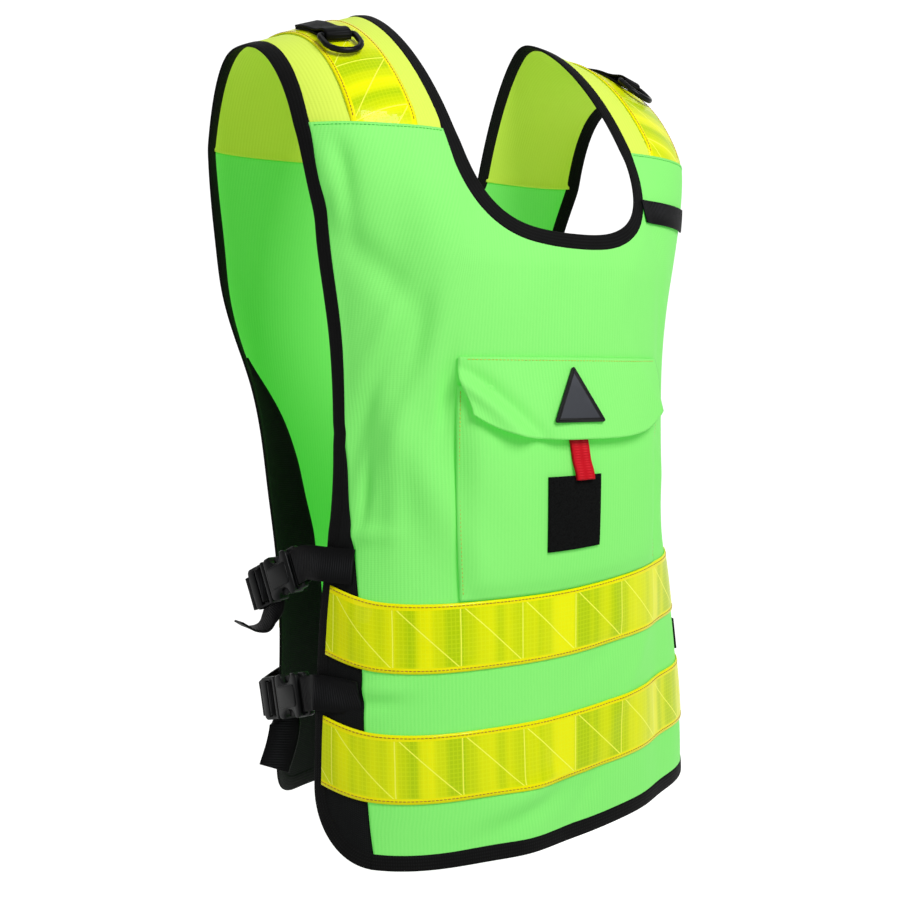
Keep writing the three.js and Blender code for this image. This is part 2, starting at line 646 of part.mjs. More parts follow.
// A plate with rounded ends and softened rims, from x0 to x1 along the strap.
function plate(x0, x1, half, thickness, radius) {
  const rim = 1;
  const outline = new THREE.Shape();
  outline.absarc(x1 - radius, half - radius, radius - rim, 0, PI / 2);
  outline.absarc(x0 + radius, half - radius, radius - rim, PI / 2, PI);
  outline.absarc(x0 + radius, radius - half, radius - rim, PI, 1.5 * PI);
  outline.absarc(x1 - radius, radius - half, radius - rim, 1.5 * PI, 2 * PI);
  const depth = thickness - 2 * rim;
  const bevel = { bevelSize: rim, bevelThickness: rim, bevelSegments: 1, curveSegments: 1 };
  const shape = new THREE.ExtrudeGeometry(outline, { depth, ...bevel });
  return manifoldOf(shape.translate(0, 0, rim - thickness / 2));
}
const webbingSlot = (x) => block(x, x + BUCKLE.slot, -STRAP_WIDTH / 2 - 0.8, STRAP_WIDTH / 2 + 0.8, -9, 9);
const windowAt = (y) =>
  manifoldOf(new THREE.CylinderGeometry(7, 7, 30, 8).rotateX(PI / 2).translate(23, y, 0));

function socketShape() {
  const { half, thickness, frame, bar, body, mouth } = BUCKLE;
  return block(0, body + 3, 0.5 - half, half - 0.5, -frame, frame)
    .add(plate(body, mouth, half, thickness, 4))
    .subtract(webbingSlot(bar))
    .subtract(block(body + 3.5, mouth + 1, 3.5 - half, half - 3.5, -3, 3))
    .subtract(windowAt(half))
    .subtract(windowAt(-half));
}
function plugShape() {
  const { half, frame, bar, slot, mouth, end } = BUCKLE;
  const foot = mouth + 0.6;
  const flange = 4;
  const prong = 2.4;
  return plate(foot, end, half - 0.5, 2 * frame, 4)
    .add(block(foot, foot + flange, 0.5 - half, half - 0.5, -5, 5))
    .subtract(webbingSlot(foot + flange))
    .subtract(webbingSlot(foot + flange + slot + bar))
    .add(block(18, foot + 1, 6.5, 10, -prong, prong))
    .add(block(18, foot + 1, -10, -6.5, -prong, prong))
    .add(block(18.5, 27.5, 8, 15.2, -prong, prong))
    .add(block(18.5, 27.5, -15.2, -8, -prong, prong));
}

// The four side closures. Points are given for the wearer's left; the right is their mirror image.
// A tail starts behind the plug's ladder, at its depth there, and leads through points of its own.
const CLOSURES = [
  {
    level: "upper",
    height: -410,
    anchor: -440,
    socket: vector(167, -46, -413),
    outwards: 11,
    droop: 24,
    tailDepth: 8.2,
    tail: [vector(168, 3, -458), vector(172, 6, -467), vector(181, 9, -468), vector(191, 12, -462)],
    tailAcross: vector(-0.1, 1, 0),
  },
  {
    level: "lower",
    height: -503,
    anchor: -521,
    socket: vector(171, -64, -507),
    outwards: 5,
    droop: 14,
    tailDepth: 8.8,
    tail: [vector(168, -20, -540), vector(172, -22, -554), vector(180, -24, -572)],
    tailAcross: vector(0.55, 0.85, 0),
  },
];
const LEFT_RISE = 12; // the front hangs higher on the wearer's left
const mirrored = (point, hand) => vector(point.x * hand, point.y, point.z);

function buckleFrame({ socket, outwards, droop }, hand) {
  const [turn, dip] = [radians(outwards), radians(droop)];
  const back = vector(hand * sin(turn) * cos(dip), cos(turn) * cos(dip), -sin(dip));
  const out = back.clone().cross(vector(0, 0, 1)).multiplyScalar(hand).normalize();
  const up = out.clone().cross(back).multiplyScalar(hand);
  return new THREE.Matrix4().makeBasis(back, up, out).setPosition(mirrored(socket, hand));
}

// The ways of the webbing round the socket's bar and through the plug's ladder, in the buckle's x and z
const ROUND_BAR = [
  [-8, 4.6], [-1, 4.1], [3.2, 4], [5.6, 2.4], [5.9, 0], [5.6, -2.4], [3.2, -4], [-1, -4.1], [-6, -4.1],
];
const THROUGH_LADDER = [
  [74, -4.4], [63, -4.1], [57.5, -4.1], [54.7, -2.7], [53.1, 0], [52, 2.7], [49, 4.1],
  [46, 2.7], [44.9, 0], [45.2, -3], [47.5, -5.2], [50, -5.9],
];

for (const { hand, side } of HANDS) {
  for (const closure of CLOSURES) {
    const { level, anchor } = closure;
    const rise = hand > 0 ? LEFT_RISE : 0;
    const height = closure.height + rise;
    const frame = new THREE.Matrix4().makeTranslation(0, 0, rise).multiply(buckleFrame(closure, hand));
    addSolid(`buckle_socket_${level}_${side}`, geometryOf(socketShape()).applyMatrix4(frame), BLACK_PLASTIC);
    addSolid(`buckle_plug_${level}_${side}`, geometryOf(plugShape()).applyMatrix4(frame), BLACK_PLASTIC);

    const [back, up] = [0, 1].map((column) => vector().setFromMatrixColumn(frame, column));
    const inFrame = ([x, z]) => ({ point: vector(x, 0, z).applyMatrix4(frame), across: up });
    const onSide = (face, angle, at, lift) => {
      const [above, below] = [1, -1].map((step) => liftedPoint(face, hand * angle, at + step, lift));
      return { point: liftedPoint(face, hand * angle, at, lift), across: above.sub(below).normalize() };
    };
    const front = [
      onSide("front", panelEdge("front", height) + radians(1), height, 3.4),
      onSide("front", sideEdge("front", height) - radians(1.5), height, 4.4),
      onSide("front", sideEdge("front", height) + radians(2), height, 6.8),
      ...ROUND_BAR.map(inFrame),
    ];
    addSolid(`front_strap_${level}_${side}`, ribbon(front, STRAP_WIDTH, WEBBING, 24), BLACK_CLOTH);

    const rear = [
      onSide("back", sideEdge("back", anchor) - radians(13), anchor, 5.4),
      onSide("back", sideEdge("back", anchor) - radians(4), anchor, 5.9),
      ...THROUGH_LADDER.map(inFrame),
    ];
    addSolid(`back_strap_${level}_${side}`, ribbon(rear, STRAP_WIDTH, WEBBING, 26), BLACK_CLOTH);

    const tail = [
      ...[[49, 6], [53, -12]].map(([x, y]) => ({
        point: vector(x, y, -closure.tailDepth).applyMatrix4(frame),
        across: back,
      })),
      ...closure.tail.map((point) => ({
        point: mirrored(point, hand).add(vector(0, 0, rise)),
        across: mirrored(closure.tailAcross, hand),
      })),
    ];
    addSolid(`strap_tail_${level}_${side}`, ribbon(tail, STRAP_WIDTH, WEBBING, 8), BLACK_CLOTH);
  }
}

export default bib;
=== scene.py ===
# %% [markdown]
# # A worn training bib
# The bib is fluorescent cloth with black bound edges, reflective tapes, a belly pocket, D-rings on the
# shoulders and buckled straps at the sides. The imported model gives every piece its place. Here each piece is
# made again with a finer surface, in metres and in the same frame, and gets the finish of its real material.

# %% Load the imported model
import math

import bmesh
import bpy
import numpy as np
from mathutils import Matrix, Vector


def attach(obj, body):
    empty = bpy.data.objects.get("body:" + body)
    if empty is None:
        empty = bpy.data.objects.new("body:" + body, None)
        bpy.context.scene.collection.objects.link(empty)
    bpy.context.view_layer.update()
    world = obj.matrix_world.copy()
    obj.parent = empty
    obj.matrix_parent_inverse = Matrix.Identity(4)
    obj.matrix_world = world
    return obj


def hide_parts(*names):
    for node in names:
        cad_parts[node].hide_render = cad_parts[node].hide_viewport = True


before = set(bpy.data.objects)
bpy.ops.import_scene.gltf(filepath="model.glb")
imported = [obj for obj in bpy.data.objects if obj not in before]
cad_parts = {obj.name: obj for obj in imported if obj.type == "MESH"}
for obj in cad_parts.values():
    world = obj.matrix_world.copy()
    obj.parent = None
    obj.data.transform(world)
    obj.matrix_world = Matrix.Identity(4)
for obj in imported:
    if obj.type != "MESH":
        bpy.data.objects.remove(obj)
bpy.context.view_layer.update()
MM = 0.001

# %% [markdown]
# ## Camera
# The photograph looks up a little at the wearer's right front, from about chest height. A 55 mm lens on a
# 36 mm sensor gives its mild perspective, so the camera stands where that lens saw the bib.

# %% Camera
scene = bpy.context.scene
camera_data = bpy.data.cameras.new("photo_camera")
camera_data.lens = 55
camera_data.sensor_width = 36
camera = bpy.data.objects.new("photo_camera", camera_data)
camera.location = Vector((-687.0, -949.5, -272.5)) * MM
camera_aim = Vector((-25.0, -41.7, -330.0)) * MM
camera.rotation_euler = (camera_aim - camera.location).to_track_quat("-Z", "Y").to_euler()
scene.collection.objects.link(camera)
scene.camera = camera
print("camera distance:", round((camera_aim - camera.location).length, 3), "m")

# %% [markdown]
# ## Studio
# The bib is held up above a pale floor, in front of a bright white wall. The white wall is the world's
# background, bright behind the bib and dimmer towards the front of the room. The paper glows with a painted
# pool of light, bright behind the bib and fading towards the front, so that a softbox high in front can shade
# the folds. The plain colour transform keeps fluorescent colours clean.


# %% Colours and nodes
def linear(hex_colour):
    """An sRGB hex value as the linear colour that a shader takes."""
    channels = [int(hex_colour[i:i + 2], 16) / 255 for i in (1, 3, 5)]
    return [c / 12.92 if c <= 0.04045 else ((c + 0.055) / 1.055) ** 2.4 for c in channels] + [1]


def feed(tree, node, inputs):
    """Sets a node's inputs, or links them where the source is a node's output."""
    for key, source in inputs.items():
        socket = node.inputs[key.replace("_", " ") if isinstance(key, str) else key]
        if isinstance(source, bpy.types.NodeSocket):
            tree.links.new(source, socket)
        else:
            socket.default_value = source


def add_node(tree, kind, inputs=None, **settings):
    """Adds a node with its settings and inputs."""
    node = tree.nodes.new(kind)
    for key, value in settings.items():
        setattr(node, key, value)
    feed(tree, node, inputs or {})
    return node


def new_material(name, hex_colour, **inputs):
    """A material with its principled shader's own sockets set."""
    material = bpy.data.materials.new(name)
    material.use_nodes = True
    shader = material.node_tree.nodes["Principled BSDF"]
    feed(material.node_tree, shader, {"Base Color": linear(hex_colour), **inputs})
    return material, material.node_tree, shader


def wire(tree, shader, **sources):
    feed(tree, shader, sources)


def coordinates(tree):
    return add_node(tree, "ShaderNodeTexCoord").outputs


def maths(tree, operation, *values):
    return add_node(tree, "ShaderNodeMath", dict(enumerate(values)), operation=operation).outputs[0]


def blend(tree, factor, first, second):
    """Mixes two colours, each given as a hex value or as a node's output."""
    pair = [linear(colour) if isinstance(colour, str) else colour for colour in (first, second)]
    return add_node(tree, "ShaderNodeMix", {0: factor, 6: pair[0], 7: pair[1]}, data_type="RGBA").outputs[2]


def spread(tree, value, low, high, start=0.0, end=1.0, **settings):
    """Maps a value between start and end to one between low and high."""
    inputs = {0: value, "From Min": start, "From Max": end, "To Min": low, "To Max": high}
    return add_node(tree, "ShaderNodeMapRange", inputs, **settings).outputs[0]


def noise(tree, vector, scale, detail=2.0):
    inputs = {"Vector": vector, "Scale": scale, "Detail": detail}
    return add_node(tree, "ShaderNodeTexNoise", inputs).outputs[0]


def stripes(tree, vector, spacing_mm, way="X", **inputs):
    """Soft stripes this far apart, on coordinates in metres."""
    inputs.update(Vector=vector, Scale=2 * math.pi / (20 * spacing_mm * MM))
    return add_node(tree, "ShaderNodeTexWave", inputs, bands_direction=way).outputs[1]


def bumps(tree, height, strength, depth_mm, **settings):
    inputs = {"Strength": strength, "Distance": depth_mm * MM, "Height": height}
    return add_node(tree, "ShaderNodeBump", inputs, **settings).outputs[0]


def finished_mesh(bm, name):
    """Ends an edit as a new mesh."""
    mesh = bpy.data.meshes.new(name)
    bm.to_mesh(mesh)
    bm.free()
    return mesh


# %% Floor, sky and lights
wall_way = (camera_aim - camera.location).normalized()


def toward_wall(tree, vector):
    """How far a place or a direction goes towards the wall."""
    inputs = {0: vector, 1: wall_way}
    return add_node(tree, "ShaderNodeVectorMath", inputs, operation="DOT_PRODUCT").outputs["Value"]


paper, paper_tree, paper_shader = new_material("studio_paper", "#b4b4b2", Roughness=0.9)
spot = coordinates(paper_tree)["Object"]
grain = noise(paper_tree, spot, 40.0)
paper_bump = add_node(paper_tree, "ShaderNodeBump", {"Strength": 0.05, "Height": grain})
behind = toward_wall(paper_tree, spot)
# Painted light: the paper's emission is a pool, brightest behind the bib and fading towards the front
painted_light_pool = spread(paper_tree, behind, 0.25, 0.9, -0.3, 0.15, interpolation_type="SMOOTHSTEP")
wire(paper_tree, paper_shader, Normal=paper_bump.outputs[0], Emission_Strength=painted_light_pool)

bm = bmesh.new()
bmesh.ops.create_circle(bm, cap_ends=True, segments=96, radius=12)
bmesh.ops.translate(bm, verts=bm.verts, vec=(0, 0, -0.76))
floor_mesh = finished_mesh(bm, "studio_floor")
floor_mesh.materials.append(paper)
floor = bpy.data.objects.new("studio_floor", floor_mesh)
scene.collection.objects.link(floor)

world = bpy.data.worlds.new("studio_room")
world.use_nodes = True
room = world.node_tree
room.nodes["Background"].inputs["Color"].default_value = (1, 1, 1, 1)
ahead = toward_wall(room, coordinates(room)["Generated"])
wire(room, room.nodes["Background"], Strength=spread(room, ahead, 0.22, 1.1, 0.3, 0.8))
scene.world = world
scene.view_settings.view_transform = "Standard"

LIGHTS = [
    # name, place, aim, size, watts
    ("key_softbox", (-0.1, -1.5, 0.8), (0, -0.12, -0.25), 0.8, 28.5),
    ("fill_softbox", (-1.9, -0.7, 0.3), (0, -0.1, -0.3), 1.2, 4),
    ("top_softbox", (-0.3, 0.3, 1.2), (0, 0, -0.1), 0.8, 2),
]
for name, place, aim, size, watts in LIGHTS:
    light_data = bpy.data.lights.new(name, "AREA")
    light_data.size = size
    light_data.energy = watts
    light = bpy.data.objects.new(name, light_data)
    light.location = place
    light.rotation_euler = (Vector(aim) - Vector(place)).to_track_quat("-Z", "Y").to_euler()
    scene.collection.objects.link(light)
print("lights:", len(LIGHTS))

# %% [markdown]
# ## The worn form
# A worn bib takes the shape of the trunk under it. That shape is a stack of level sections, each half a
# superellipse in front and half a superellipse behind, and an arch over each shoulder. The tables repeat the
# model's sizes in millimetres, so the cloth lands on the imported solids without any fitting.


# %% Sizes
def table(columns, *rows):
    """A table as one array for each named column."""
    return dict(zip(columns.split(), np.array(rows, float).T))


CLOTH, TAPE, WEBBING, GAP = 1.2, 1.0, 1.6, 0.4
HEM, SEAM = -606, -89
PANEL_TOP = SEAM - 2 * GAP
TAPE_WIDTH = 50
TAPE_FEET = {"upper": -472, "lower": -566}
BINDING_WIDTH, BINDING_OVERLAP, BINDING_THICKNESS, EDGE_GAP = 9, 3.6, 2.6, 0.55
BINDING_ROUNDING = 0.6
NECK_HALF, SHOULDER_HALF = 92, 187
NECK_DROP = {"front": 83, "back": 22}
NECK_CORNER = 2.75
CORNER_RADIUS, CORNER_FADE = 40, 100
TRUNK_AXIS_Y, ARCH_BASE = -45, -190
SIDE_TOP = {"front": -312, "back": -255}
PLAIN_TOP = -330
PANEL_COLUMNS, SIDE_COLUMNS, NECK_COLUMNS = 8, 4, 5
HANG_TOP, HANG_FULL = -300, -410
ON_CLOTH = CLOTH + GAP
ON_FOLDS = ON_CLOTH + 0.6
ON_TAPE = ON_CLOTH + TAPE + GAP
# Millimetres along the cloth for each radian, at the seams, at the lower corners and among the folds
SEAM_REACH, CORNER_REACH, FOLD_REACH = 170, 175, 150
SEAM_GAP = GAP / SEAM_REACH
CREASE_FADE = 30
FACES = ("front", "back")
SIDES = {"right": -1, "left": 1}

SECTIONS = table(
    "height front_width front front_corner back_width back back_corner",
    (-640, 183, 121, 2.6, 172, 112, 2.6),
    (-545, 177, 122, 2.6, 166, 112, 2.6),
    (-450, 168, 122, 2.5, 163, 112, 2.7),
    (-370, 157, 122, 2.3, 167, 116, 3),
    (-280, 157, 123, 2.3, 172, 122, 4),
    (-190, 171, 125, 2.3, 188, 126, 7),
    (SEAM, 200, 125, 2.5, 200, 126, 7),
)
RIDGE = table("out height roundness", (NECK_HALF, 17, 1.55), (SHOULDER_HALF, -19, 2.3))
EDGE = {
    "front": table(
        "height angle", (-640, 75.5), (-520, 76.5), (-430, 77.5), (-330, 77), (-250, 75.5), (-174, 75.5),
        (-130, 74), (SEAM, 72.4),
    ),
    "back": table(
        "height angle", (-640, 66), (-440, 67), (-400, 66), (-330, 62), (-250, 58.5), (-170, 56),
        (SEAM, 59.7),
    ),
}
SIDE_SEAM = {
    "front": table(
        "height angle", (-640, 60.5), (-580, 63.5), (-486, 66), (-433, 68), (-394, 71), (-362, 74),
        (SIDE_TOP["front"], 76.3),
    ),
    "back": table(
        "height angle", (-640, 41), (-486, 41), (-420, 42), (-373, 44.5), (-338, 46), (-298, 50),
        (SIDE_TOP["back"], 58.3),
    ),
}
HANG = table("angle drop", (-80, 1), (-62, 12), (-30, 11), (0, 8), (35, 0), (65, -7), (80, -8))
print("cloth from", HEM, "to", PANEL_TOP, "mm")

# %% [markdown]
# ## Folds
# Large folds are in the model already. The small ones belong to the look: a crease beside the arm opening,
# pulls towards the straps, drag lines at the pocket and soft sags under the tapes. Each row is one fold, a
# smooth ridge or hollow, and every layer that lies on the cloth follows it.

# %% Folds
FOLD_COLUMNS = "angle height length width tilt depth"
FOLDS = {
    "front": table(
        FOLD_COLUMNS,
        (-58, -230, 110, 16, 4, -4), (-52, -345, 70, 17, -28, 6), (46, -520, 120, 24, 0, -6),
        (68, -570, 90, 26, 0, 3), (54, -350, 80, 18, 12, 4), (-20, -600, 60, 30, 10, 4),
    ),
    "back": table(
        FOLD_COLUMNS, (30, -300, 120, 24, 12, 4), (-30, -300, 120, 24, -12, 4), (0, -560, 100, 30, 0, 5),
    ),
}
CREASES = {
    "front": table(
        FOLD_COLUMNS,
        (-67, -122, 40, 6, 4, -3.6), (-71, -128, 40, 6, 4, 2.4), (-73.5, -148, 16, 5, 20, -2.4),
        (-64, -190, 36, 12, -40, -4.2), (-76, -214, 80, 5, 0, 2.0), (-62.5, -238, 30, 8, 25, 4.4),
        (-53, -241, 34, 9, 10, -4.4), (-68.5, -293, 50, 9, 17, -5.0), (-58, -301, 50, 10, 20, 4.6),
        (-46, -286, 26, 6, 6, -4.4), (-69, -354, 24, 5, 5, -4.4), (-60, -360, 36, 9, 0, 3.6),
        (-68, -386, 20, 6, 86, 3.6), (-62, -497, 18, 6, 87, 2.6), (-62, -507, 18, 6, 87, -2.4),
        (-18, -595, 44, 9, 74, -3.6), (-22, -582, 40, 9, 74, 3.0), (8, -586, 30, 10, 52, -2.4),
        (14, -484, 34, 10, 66, -2.0), (30, -500, 40, 9, 40, 1.8), (40, -300, 55, 8, -36, 2.0),
        (48, -235, 60, 9, -12, -1.8), (28, -180, 45, 14, 30, 1.6), (-20, -205, 60, 22, 40, 1.8),
    ),
    "back": table(
        FOLD_COLUMNS,
        (40, -420, 40, 9, 60, 1.8), (-40, -420, 40, 9, -60, 1.8), (18, -250, 60, 10, 20, 1.4),
        (-16, -260, 60, 10, -24, 1.4), (10, -600, 40, 12, 50, 1.6),
    ),
}
print("folds:", sum(len(rows["angle"]) for group in (FOLDS, CREASES) for rows in group.values()))


# %% The form as functions
def mix(a, b, t):
    return a + (b - a) * t


def ease(t):
    t = np.clip(t, 0, 1)
    return t * t * (3 - 2 * t)


def unit(vectors):
    return vectors / np.linalg.norm(vectors, axis=-1, keepdims=True)


def smooth(rows, column, at, key="height"):
    """A table's column on a smooth curve through its rows."""
    keys, values = rows[key], rows[column]
    last = len(keys) - 1
    i = np.clip(np.searchsorted(keys, at, side="right") - 1, 0, last - 1)
    nearby = np.arange(last + 1)
    below, above = np.maximum(nearby - 1, 0), np.minimum(nearby + 1, last)
    slopes = (values[above] - values[below]) / (keys[above] - keys[below])
    span = keys[i + 1] - keys[i]
    t = (at - keys[i]) / span
    level = mix(values[i], values[i + 1], t * t * (3 - 2 * t))
    return level + span * t * (1 - t) * (slopes[i] * (1 - t) - slopes[i + 1] * t)


def facing(face):
    return -1 if face == "front" else 1


def along_ridge(column, x):
    part = np.maximum(0, (np.abs(x) - NECK_HALF) / (SHOULDER_HALF - NECK_HALF))
    return mix(RIDGE[column][0], RIDGE[column][1], part)


def section_at(face, height):
    at = np.minimum(height, SEAM)
    return [smooth(SECTIONS, column, at) for column in (face + "_width", face, face + "_corner")]


def arch_lean(x, height):
    """How much of its depth the form keeps where it curves over the shoulder."""
    power = along_ridge("roundness", x)
    rise = np.clip((height - ARCH_BASE) / (along_ridge("height", x) - ARCH_BASE), 0, 1)
    return (1 - rise**power) ** (1 / power)


def form_point(face, angle, height):
    angle, height = np.broadcast_arrays(angle, height)
    width, depth, corner = section_at(face, height)
    across, ahead = np.abs(np.sin(angle) / width), np.abs(np.cos(angle) / depth)
    reach = (across**corner + ahead**corner) ** (-1 / corner)
    x = reach * np.sin(angle)
    y = (TRUNK_AXIS_Y + facing(face) * reach * np.cos(angle)) * arch_lean(x, height)
    return np.stack([x, y, height.astype(float)], -1)


def angle_at(face, x, height):
    width, depth, corner = section_at(face, height)
    return np.arctan2(x, depth * (1 - np.abs(x / width) ** corner) ** (1 / corner))


def outward(surface, a, b):
    step = 1e-3
    along = surface(a + step, b) - surface(a - step, b)
    up = surface(a, b + step) - surface(a, b - step)
    return unit(np.cross(along, up))


def fold_lift(face, angle, height):
    lift = 0
    below_seam = ease((SEAM - height) / CREASE_FADE)
    for rows, share in ((FOLDS[face], 1), (CREASES[face], below_seam)):
        for fold in zip(*(rows[column] for column in FOLD_COLUMNS.split())):
            at, level, length, width, tilt, depth = fold
            across, up = (angle - math.radians(at)) * FOLD_REACH, height - level
            lean = math.radians(tilt)
            run = up * math.cos(lean) + across * math.sin(lean)
            aside = across * math.cos(lean) - up * math.sin(lean)
            lift = lift + share * depth * np.exp(-((run / length) ** 2) - (aside / width) ** 2)
    return lift


def lifted(face, angle, height, lift):
    normal = outward(lambda a, h: form_point(face, a, h), angle, height) * -facing(face)
    return form_point(face, angle, height) + normal * (lift + fold_lift(face, angle, height))[..., None]


def cloth(face, angle, height, lift):
    """A point of the cloth, by the height that it would have if the cloth hung level."""
    angle, height, lift = np.broadcast_arrays(angle, height, lift)
    drop = smooth(HANG, "drop", np.degrees(angle), "angle") if face == "front" else 0
    hung = height - drop * ease((HANG_TOP - height) / (HANG_TOP - HANG_FULL))
    return lifted(face, angle, hung, lift)


def yoke_form(x, q):
    """Over a shoulder, q runs from -1 at the front seam over the ridge at 0 to 1 at the back seam."""
    x, q = np.broadcast_arrays(np.asarray(x, float), q)
    lean = arch_lean(x, SEAM)
    seam_y = [np.abs(form_point(face, angle_at(face, x, SEAM), SEAM)[..., 1]) for face in FACES]
    depth = np.where(q < 0, *seam_y) / lean
    rise, power = along_ridge("height", x) - ARCH_BASE, along_ridge("roundness", x)
    turn = mix(math.pi / 2, np.arctan2(SEAM - ARCH_BASE, depth * lean), np.abs(q))
    reach = ((np.cos(turn) / depth) ** power + (np.sin(turn) / rise) ** power) ** (-1 / power)
    return np.stack([x, np.where(q < 0, -1, 1) * reach * np.cos(turn), ARCH_BASE + reach * np.sin(turn)], -1)


def yoke_normal(x, q):
    return outward(yoke_form, x, q)


def yoke_point(x, q, lift):
    return yoke_form(x, q) + yoke_normal(x, q) * np.asarray(lift, float)[..., None]


print("front of the belly:", form_point("front", np.array(0.0), np.array(-400.0)).round(1))


# %% Outlines of the cloth
def side_edge(face, height):
    return np.radians(smooth(EDGE[face], "angle", height))


def panel_edge(face, height):
    seam = np.radians(smooth(SIDE_SEAM[face], "angle", height))
    return np.where(np.asarray(height) <= SIDE_TOP[face], seam, side_edge(face, height))


def top_spot(face, k):
    """Where column k of a panel meets its top edge: along the neckline, then along the yoke's seam."""
    turn = np.minimum(np.abs(k), NECK_COLUMNS) / NECK_COLUMNS * (math.pi / 2)
    beyond = np.maximum(0, np.abs(k) - NECK_COLUMNS) / (PANEL_COLUMNS - NECK_COLUMNS)
    x = NECK_HALF * np.sin(turn) ** (2 / NECK_CORNER) + (SHOULDER_HALF - NECK_HALF) * beyond
    drop = NECK_DROP[face] * np.maximum(np.cos(turn), 0) ** (2 / NECK_CORNER)
    return np.sign(k) * x, PANEL_TOP - np.where(np.abs(k) < NECK_COLUMNS, drop, 0)


def panel_spot(face, k, row):
    """The angle and height of column k of a panel, in the row that meets the side at the given height."""
    edge = panel_edge(face, row)
    top_x, top_height = top_spot(face, k)
    part = np.maximum(0, (row - PLAIN_TOP) / (PANEL_TOP - PLAIN_TOP))
    leaning = angle_at(face, top_x, np.full_like(top_x, SEAM)) * (edge / panel_edge(face, PANEL_TOP))
    height = np.where(part > 0, mix(PLAIN_TOP, top_height, part), row)
    return mix(k / PANEL_COLUMNS * edge, leaning, ease(part)), height


def whole_angle(face, k, height):
    """Across the whole of a face below the arms: the panel's columns, then those of its side panels."""
    edge = panel_edge(face, height)
    part = np.sin(np.clip((np.abs(k) - PANEL_COLUMNS) / SIDE_COLUMNS, 0, 1) * (math.pi / 2))
    beyond = np.sign(k) * mix(edge + SEAM_GAP, side_edge(face, height), part)
    return np.where(np.abs(k) <= PANEL_COLUMNS, k / PANEL_COLUMNS * edge, beyond)


def side_spot(face, k, row):
    """As the whole angle, with the lower corner's rounding lifting the hem."""
    angle = whole_angle(face, k, row)
    inset = (side_edge(face, HEM) - np.abs(angle)) * CORNER_REACH
    into = np.clip(CORNER_RADIUS - np.maximum(0, inset), 0, CORNER_RADIUS)
    rise = CORNER_RADIUS - np.sqrt(CORNER_RADIUS**2 - into**2)
    return angle, row + rise * (1 - ease((row - HEM) / CORNER_FADE))


# %% [markdown]
# ## From flat grid to worn cloth
# Cloth starts flat, so each piece starts as a flat grid whose points are then moved onto the form. The UV map
# keeps the lengths along the cloth in metres, so that ribs and weaves keep their true spacing wherever the
# cloth bends. The two large panels are fine grids. The other pieces are coarser grids that a subdivision
# surface smooths. Solidify gives each cloth its thickness.


def lengths(net, axis):
    """Running lengths along one way of a net of points."""
    steps = np.linalg.norm(np.diff(net, axis=axis), axis=-1)
    start = np.zeros_like(np.take(steps, [0], axis=axis))
    return np.concatenate([start, np.cumsum(steps, axis=axis)], axis=axis)


def bent_grid(name, columns, rows, place, wrapped=False):
    """A grid of faces moved into place, by fractions along and across it, in millimetres."""
    bm = bmesh.new()
    bmesh.ops.create_grid(bm, x_segments=columns, y_segments=rows, size=0.5)
    spots = np.array([vert.co[:2] for vert in bm.verts]) + 0.5
    points = place(spots[:, 0], spots[:, 1]) * MM
    column = np.rint(spots[:, 0] * columns).astype(int)
    row = np.rint(spots[:, 1] * rows).astype(int)
    net = np.empty((rows + 1, columns + 1, 3))
    net[row, column] = points
    along, up = lengths(net, 1), lengths(net, 0)
    along = along - along[:, [columns // 2]]
    layer = bm.loops.layers.uv.new("UVMap")
    for vert, point, i, j in zip(bm.verts, points, column, row):
        vert.co = point
        for loop in vert.link_loops:
            loop[layer].uv = (along[j, i], up[j, i])
    if wrapped:
        bmesh.ops.remove_doubles(bm, verts=bm.verts, dist=1e-6)
        crease = bm.edges.layers.float.new("crease_edge")
        ends = [edge for edge in bm.edges if edge.is_boundary]
        for edge in ends:
            edge[crease] = 1
        bmesh.ops.holes_fill(bm, edges=ends)
        bmesh.ops.recalc_face_normals(bm, faces=bm.faces)
    return finished_mesh(bm, name)


def dress(mesh, material, nodes=(), body="bib", levels=0, thickness=0):
    """Makes a mesh a smooth piece that rides on a body and stands for the model's nodes."""
    piece = bpy.data.objects.new(mesh.name, mesh)
    scene.collection.objects.link(piece)
    mesh.materials.append(material)
    mesh.shade_smooth()
    if levels:
        subdivision = piece.modifiers.new("smooth", "SUBSURF")
        subdivision.levels = subdivision.render_levels = levels
        subdivision.boundary_smooth = "PRESERVE_CORNERS"
    if thickness:
        wall = piece.modifiers.new("thickness", "SOLIDIFY")
        wall.thickness = thickness * MM
        wall.offset = 0
    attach(piece, body)
    if nodes:
        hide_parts(*nodes)
    return piece


def make_piece(node, ending, grid, place, finish, thickness, levels=1):
    """The visible piece of a node, from a grid of columns and rows, with its material."""
    material, slot = finish
    mesh = bent_grid(f"{node}_{ending}", *grid, place)
    dress(mesh, material, [node], levels=levels, thickness=thickness)


# %% [markdown]
# ## Cloth finishes
# The bib is warp-knitted polyester with fine upright ribs. The dye is fluorescent: it gives back some of the
# light it takes in, which a little constant emission stands for, a painted glow that is the same in light and
# in shade. The grooves between the ribs are painted a darker shade, more in some places than in others. The
# ribs are about 1.5 mm apart on the cloth and are drawn at 2.8 mm, because finer ones would not show in the
# render.

# %% Ribbed polyester knit
RIB_SPACING, LOOP_SPACING = 2.8, 1.6


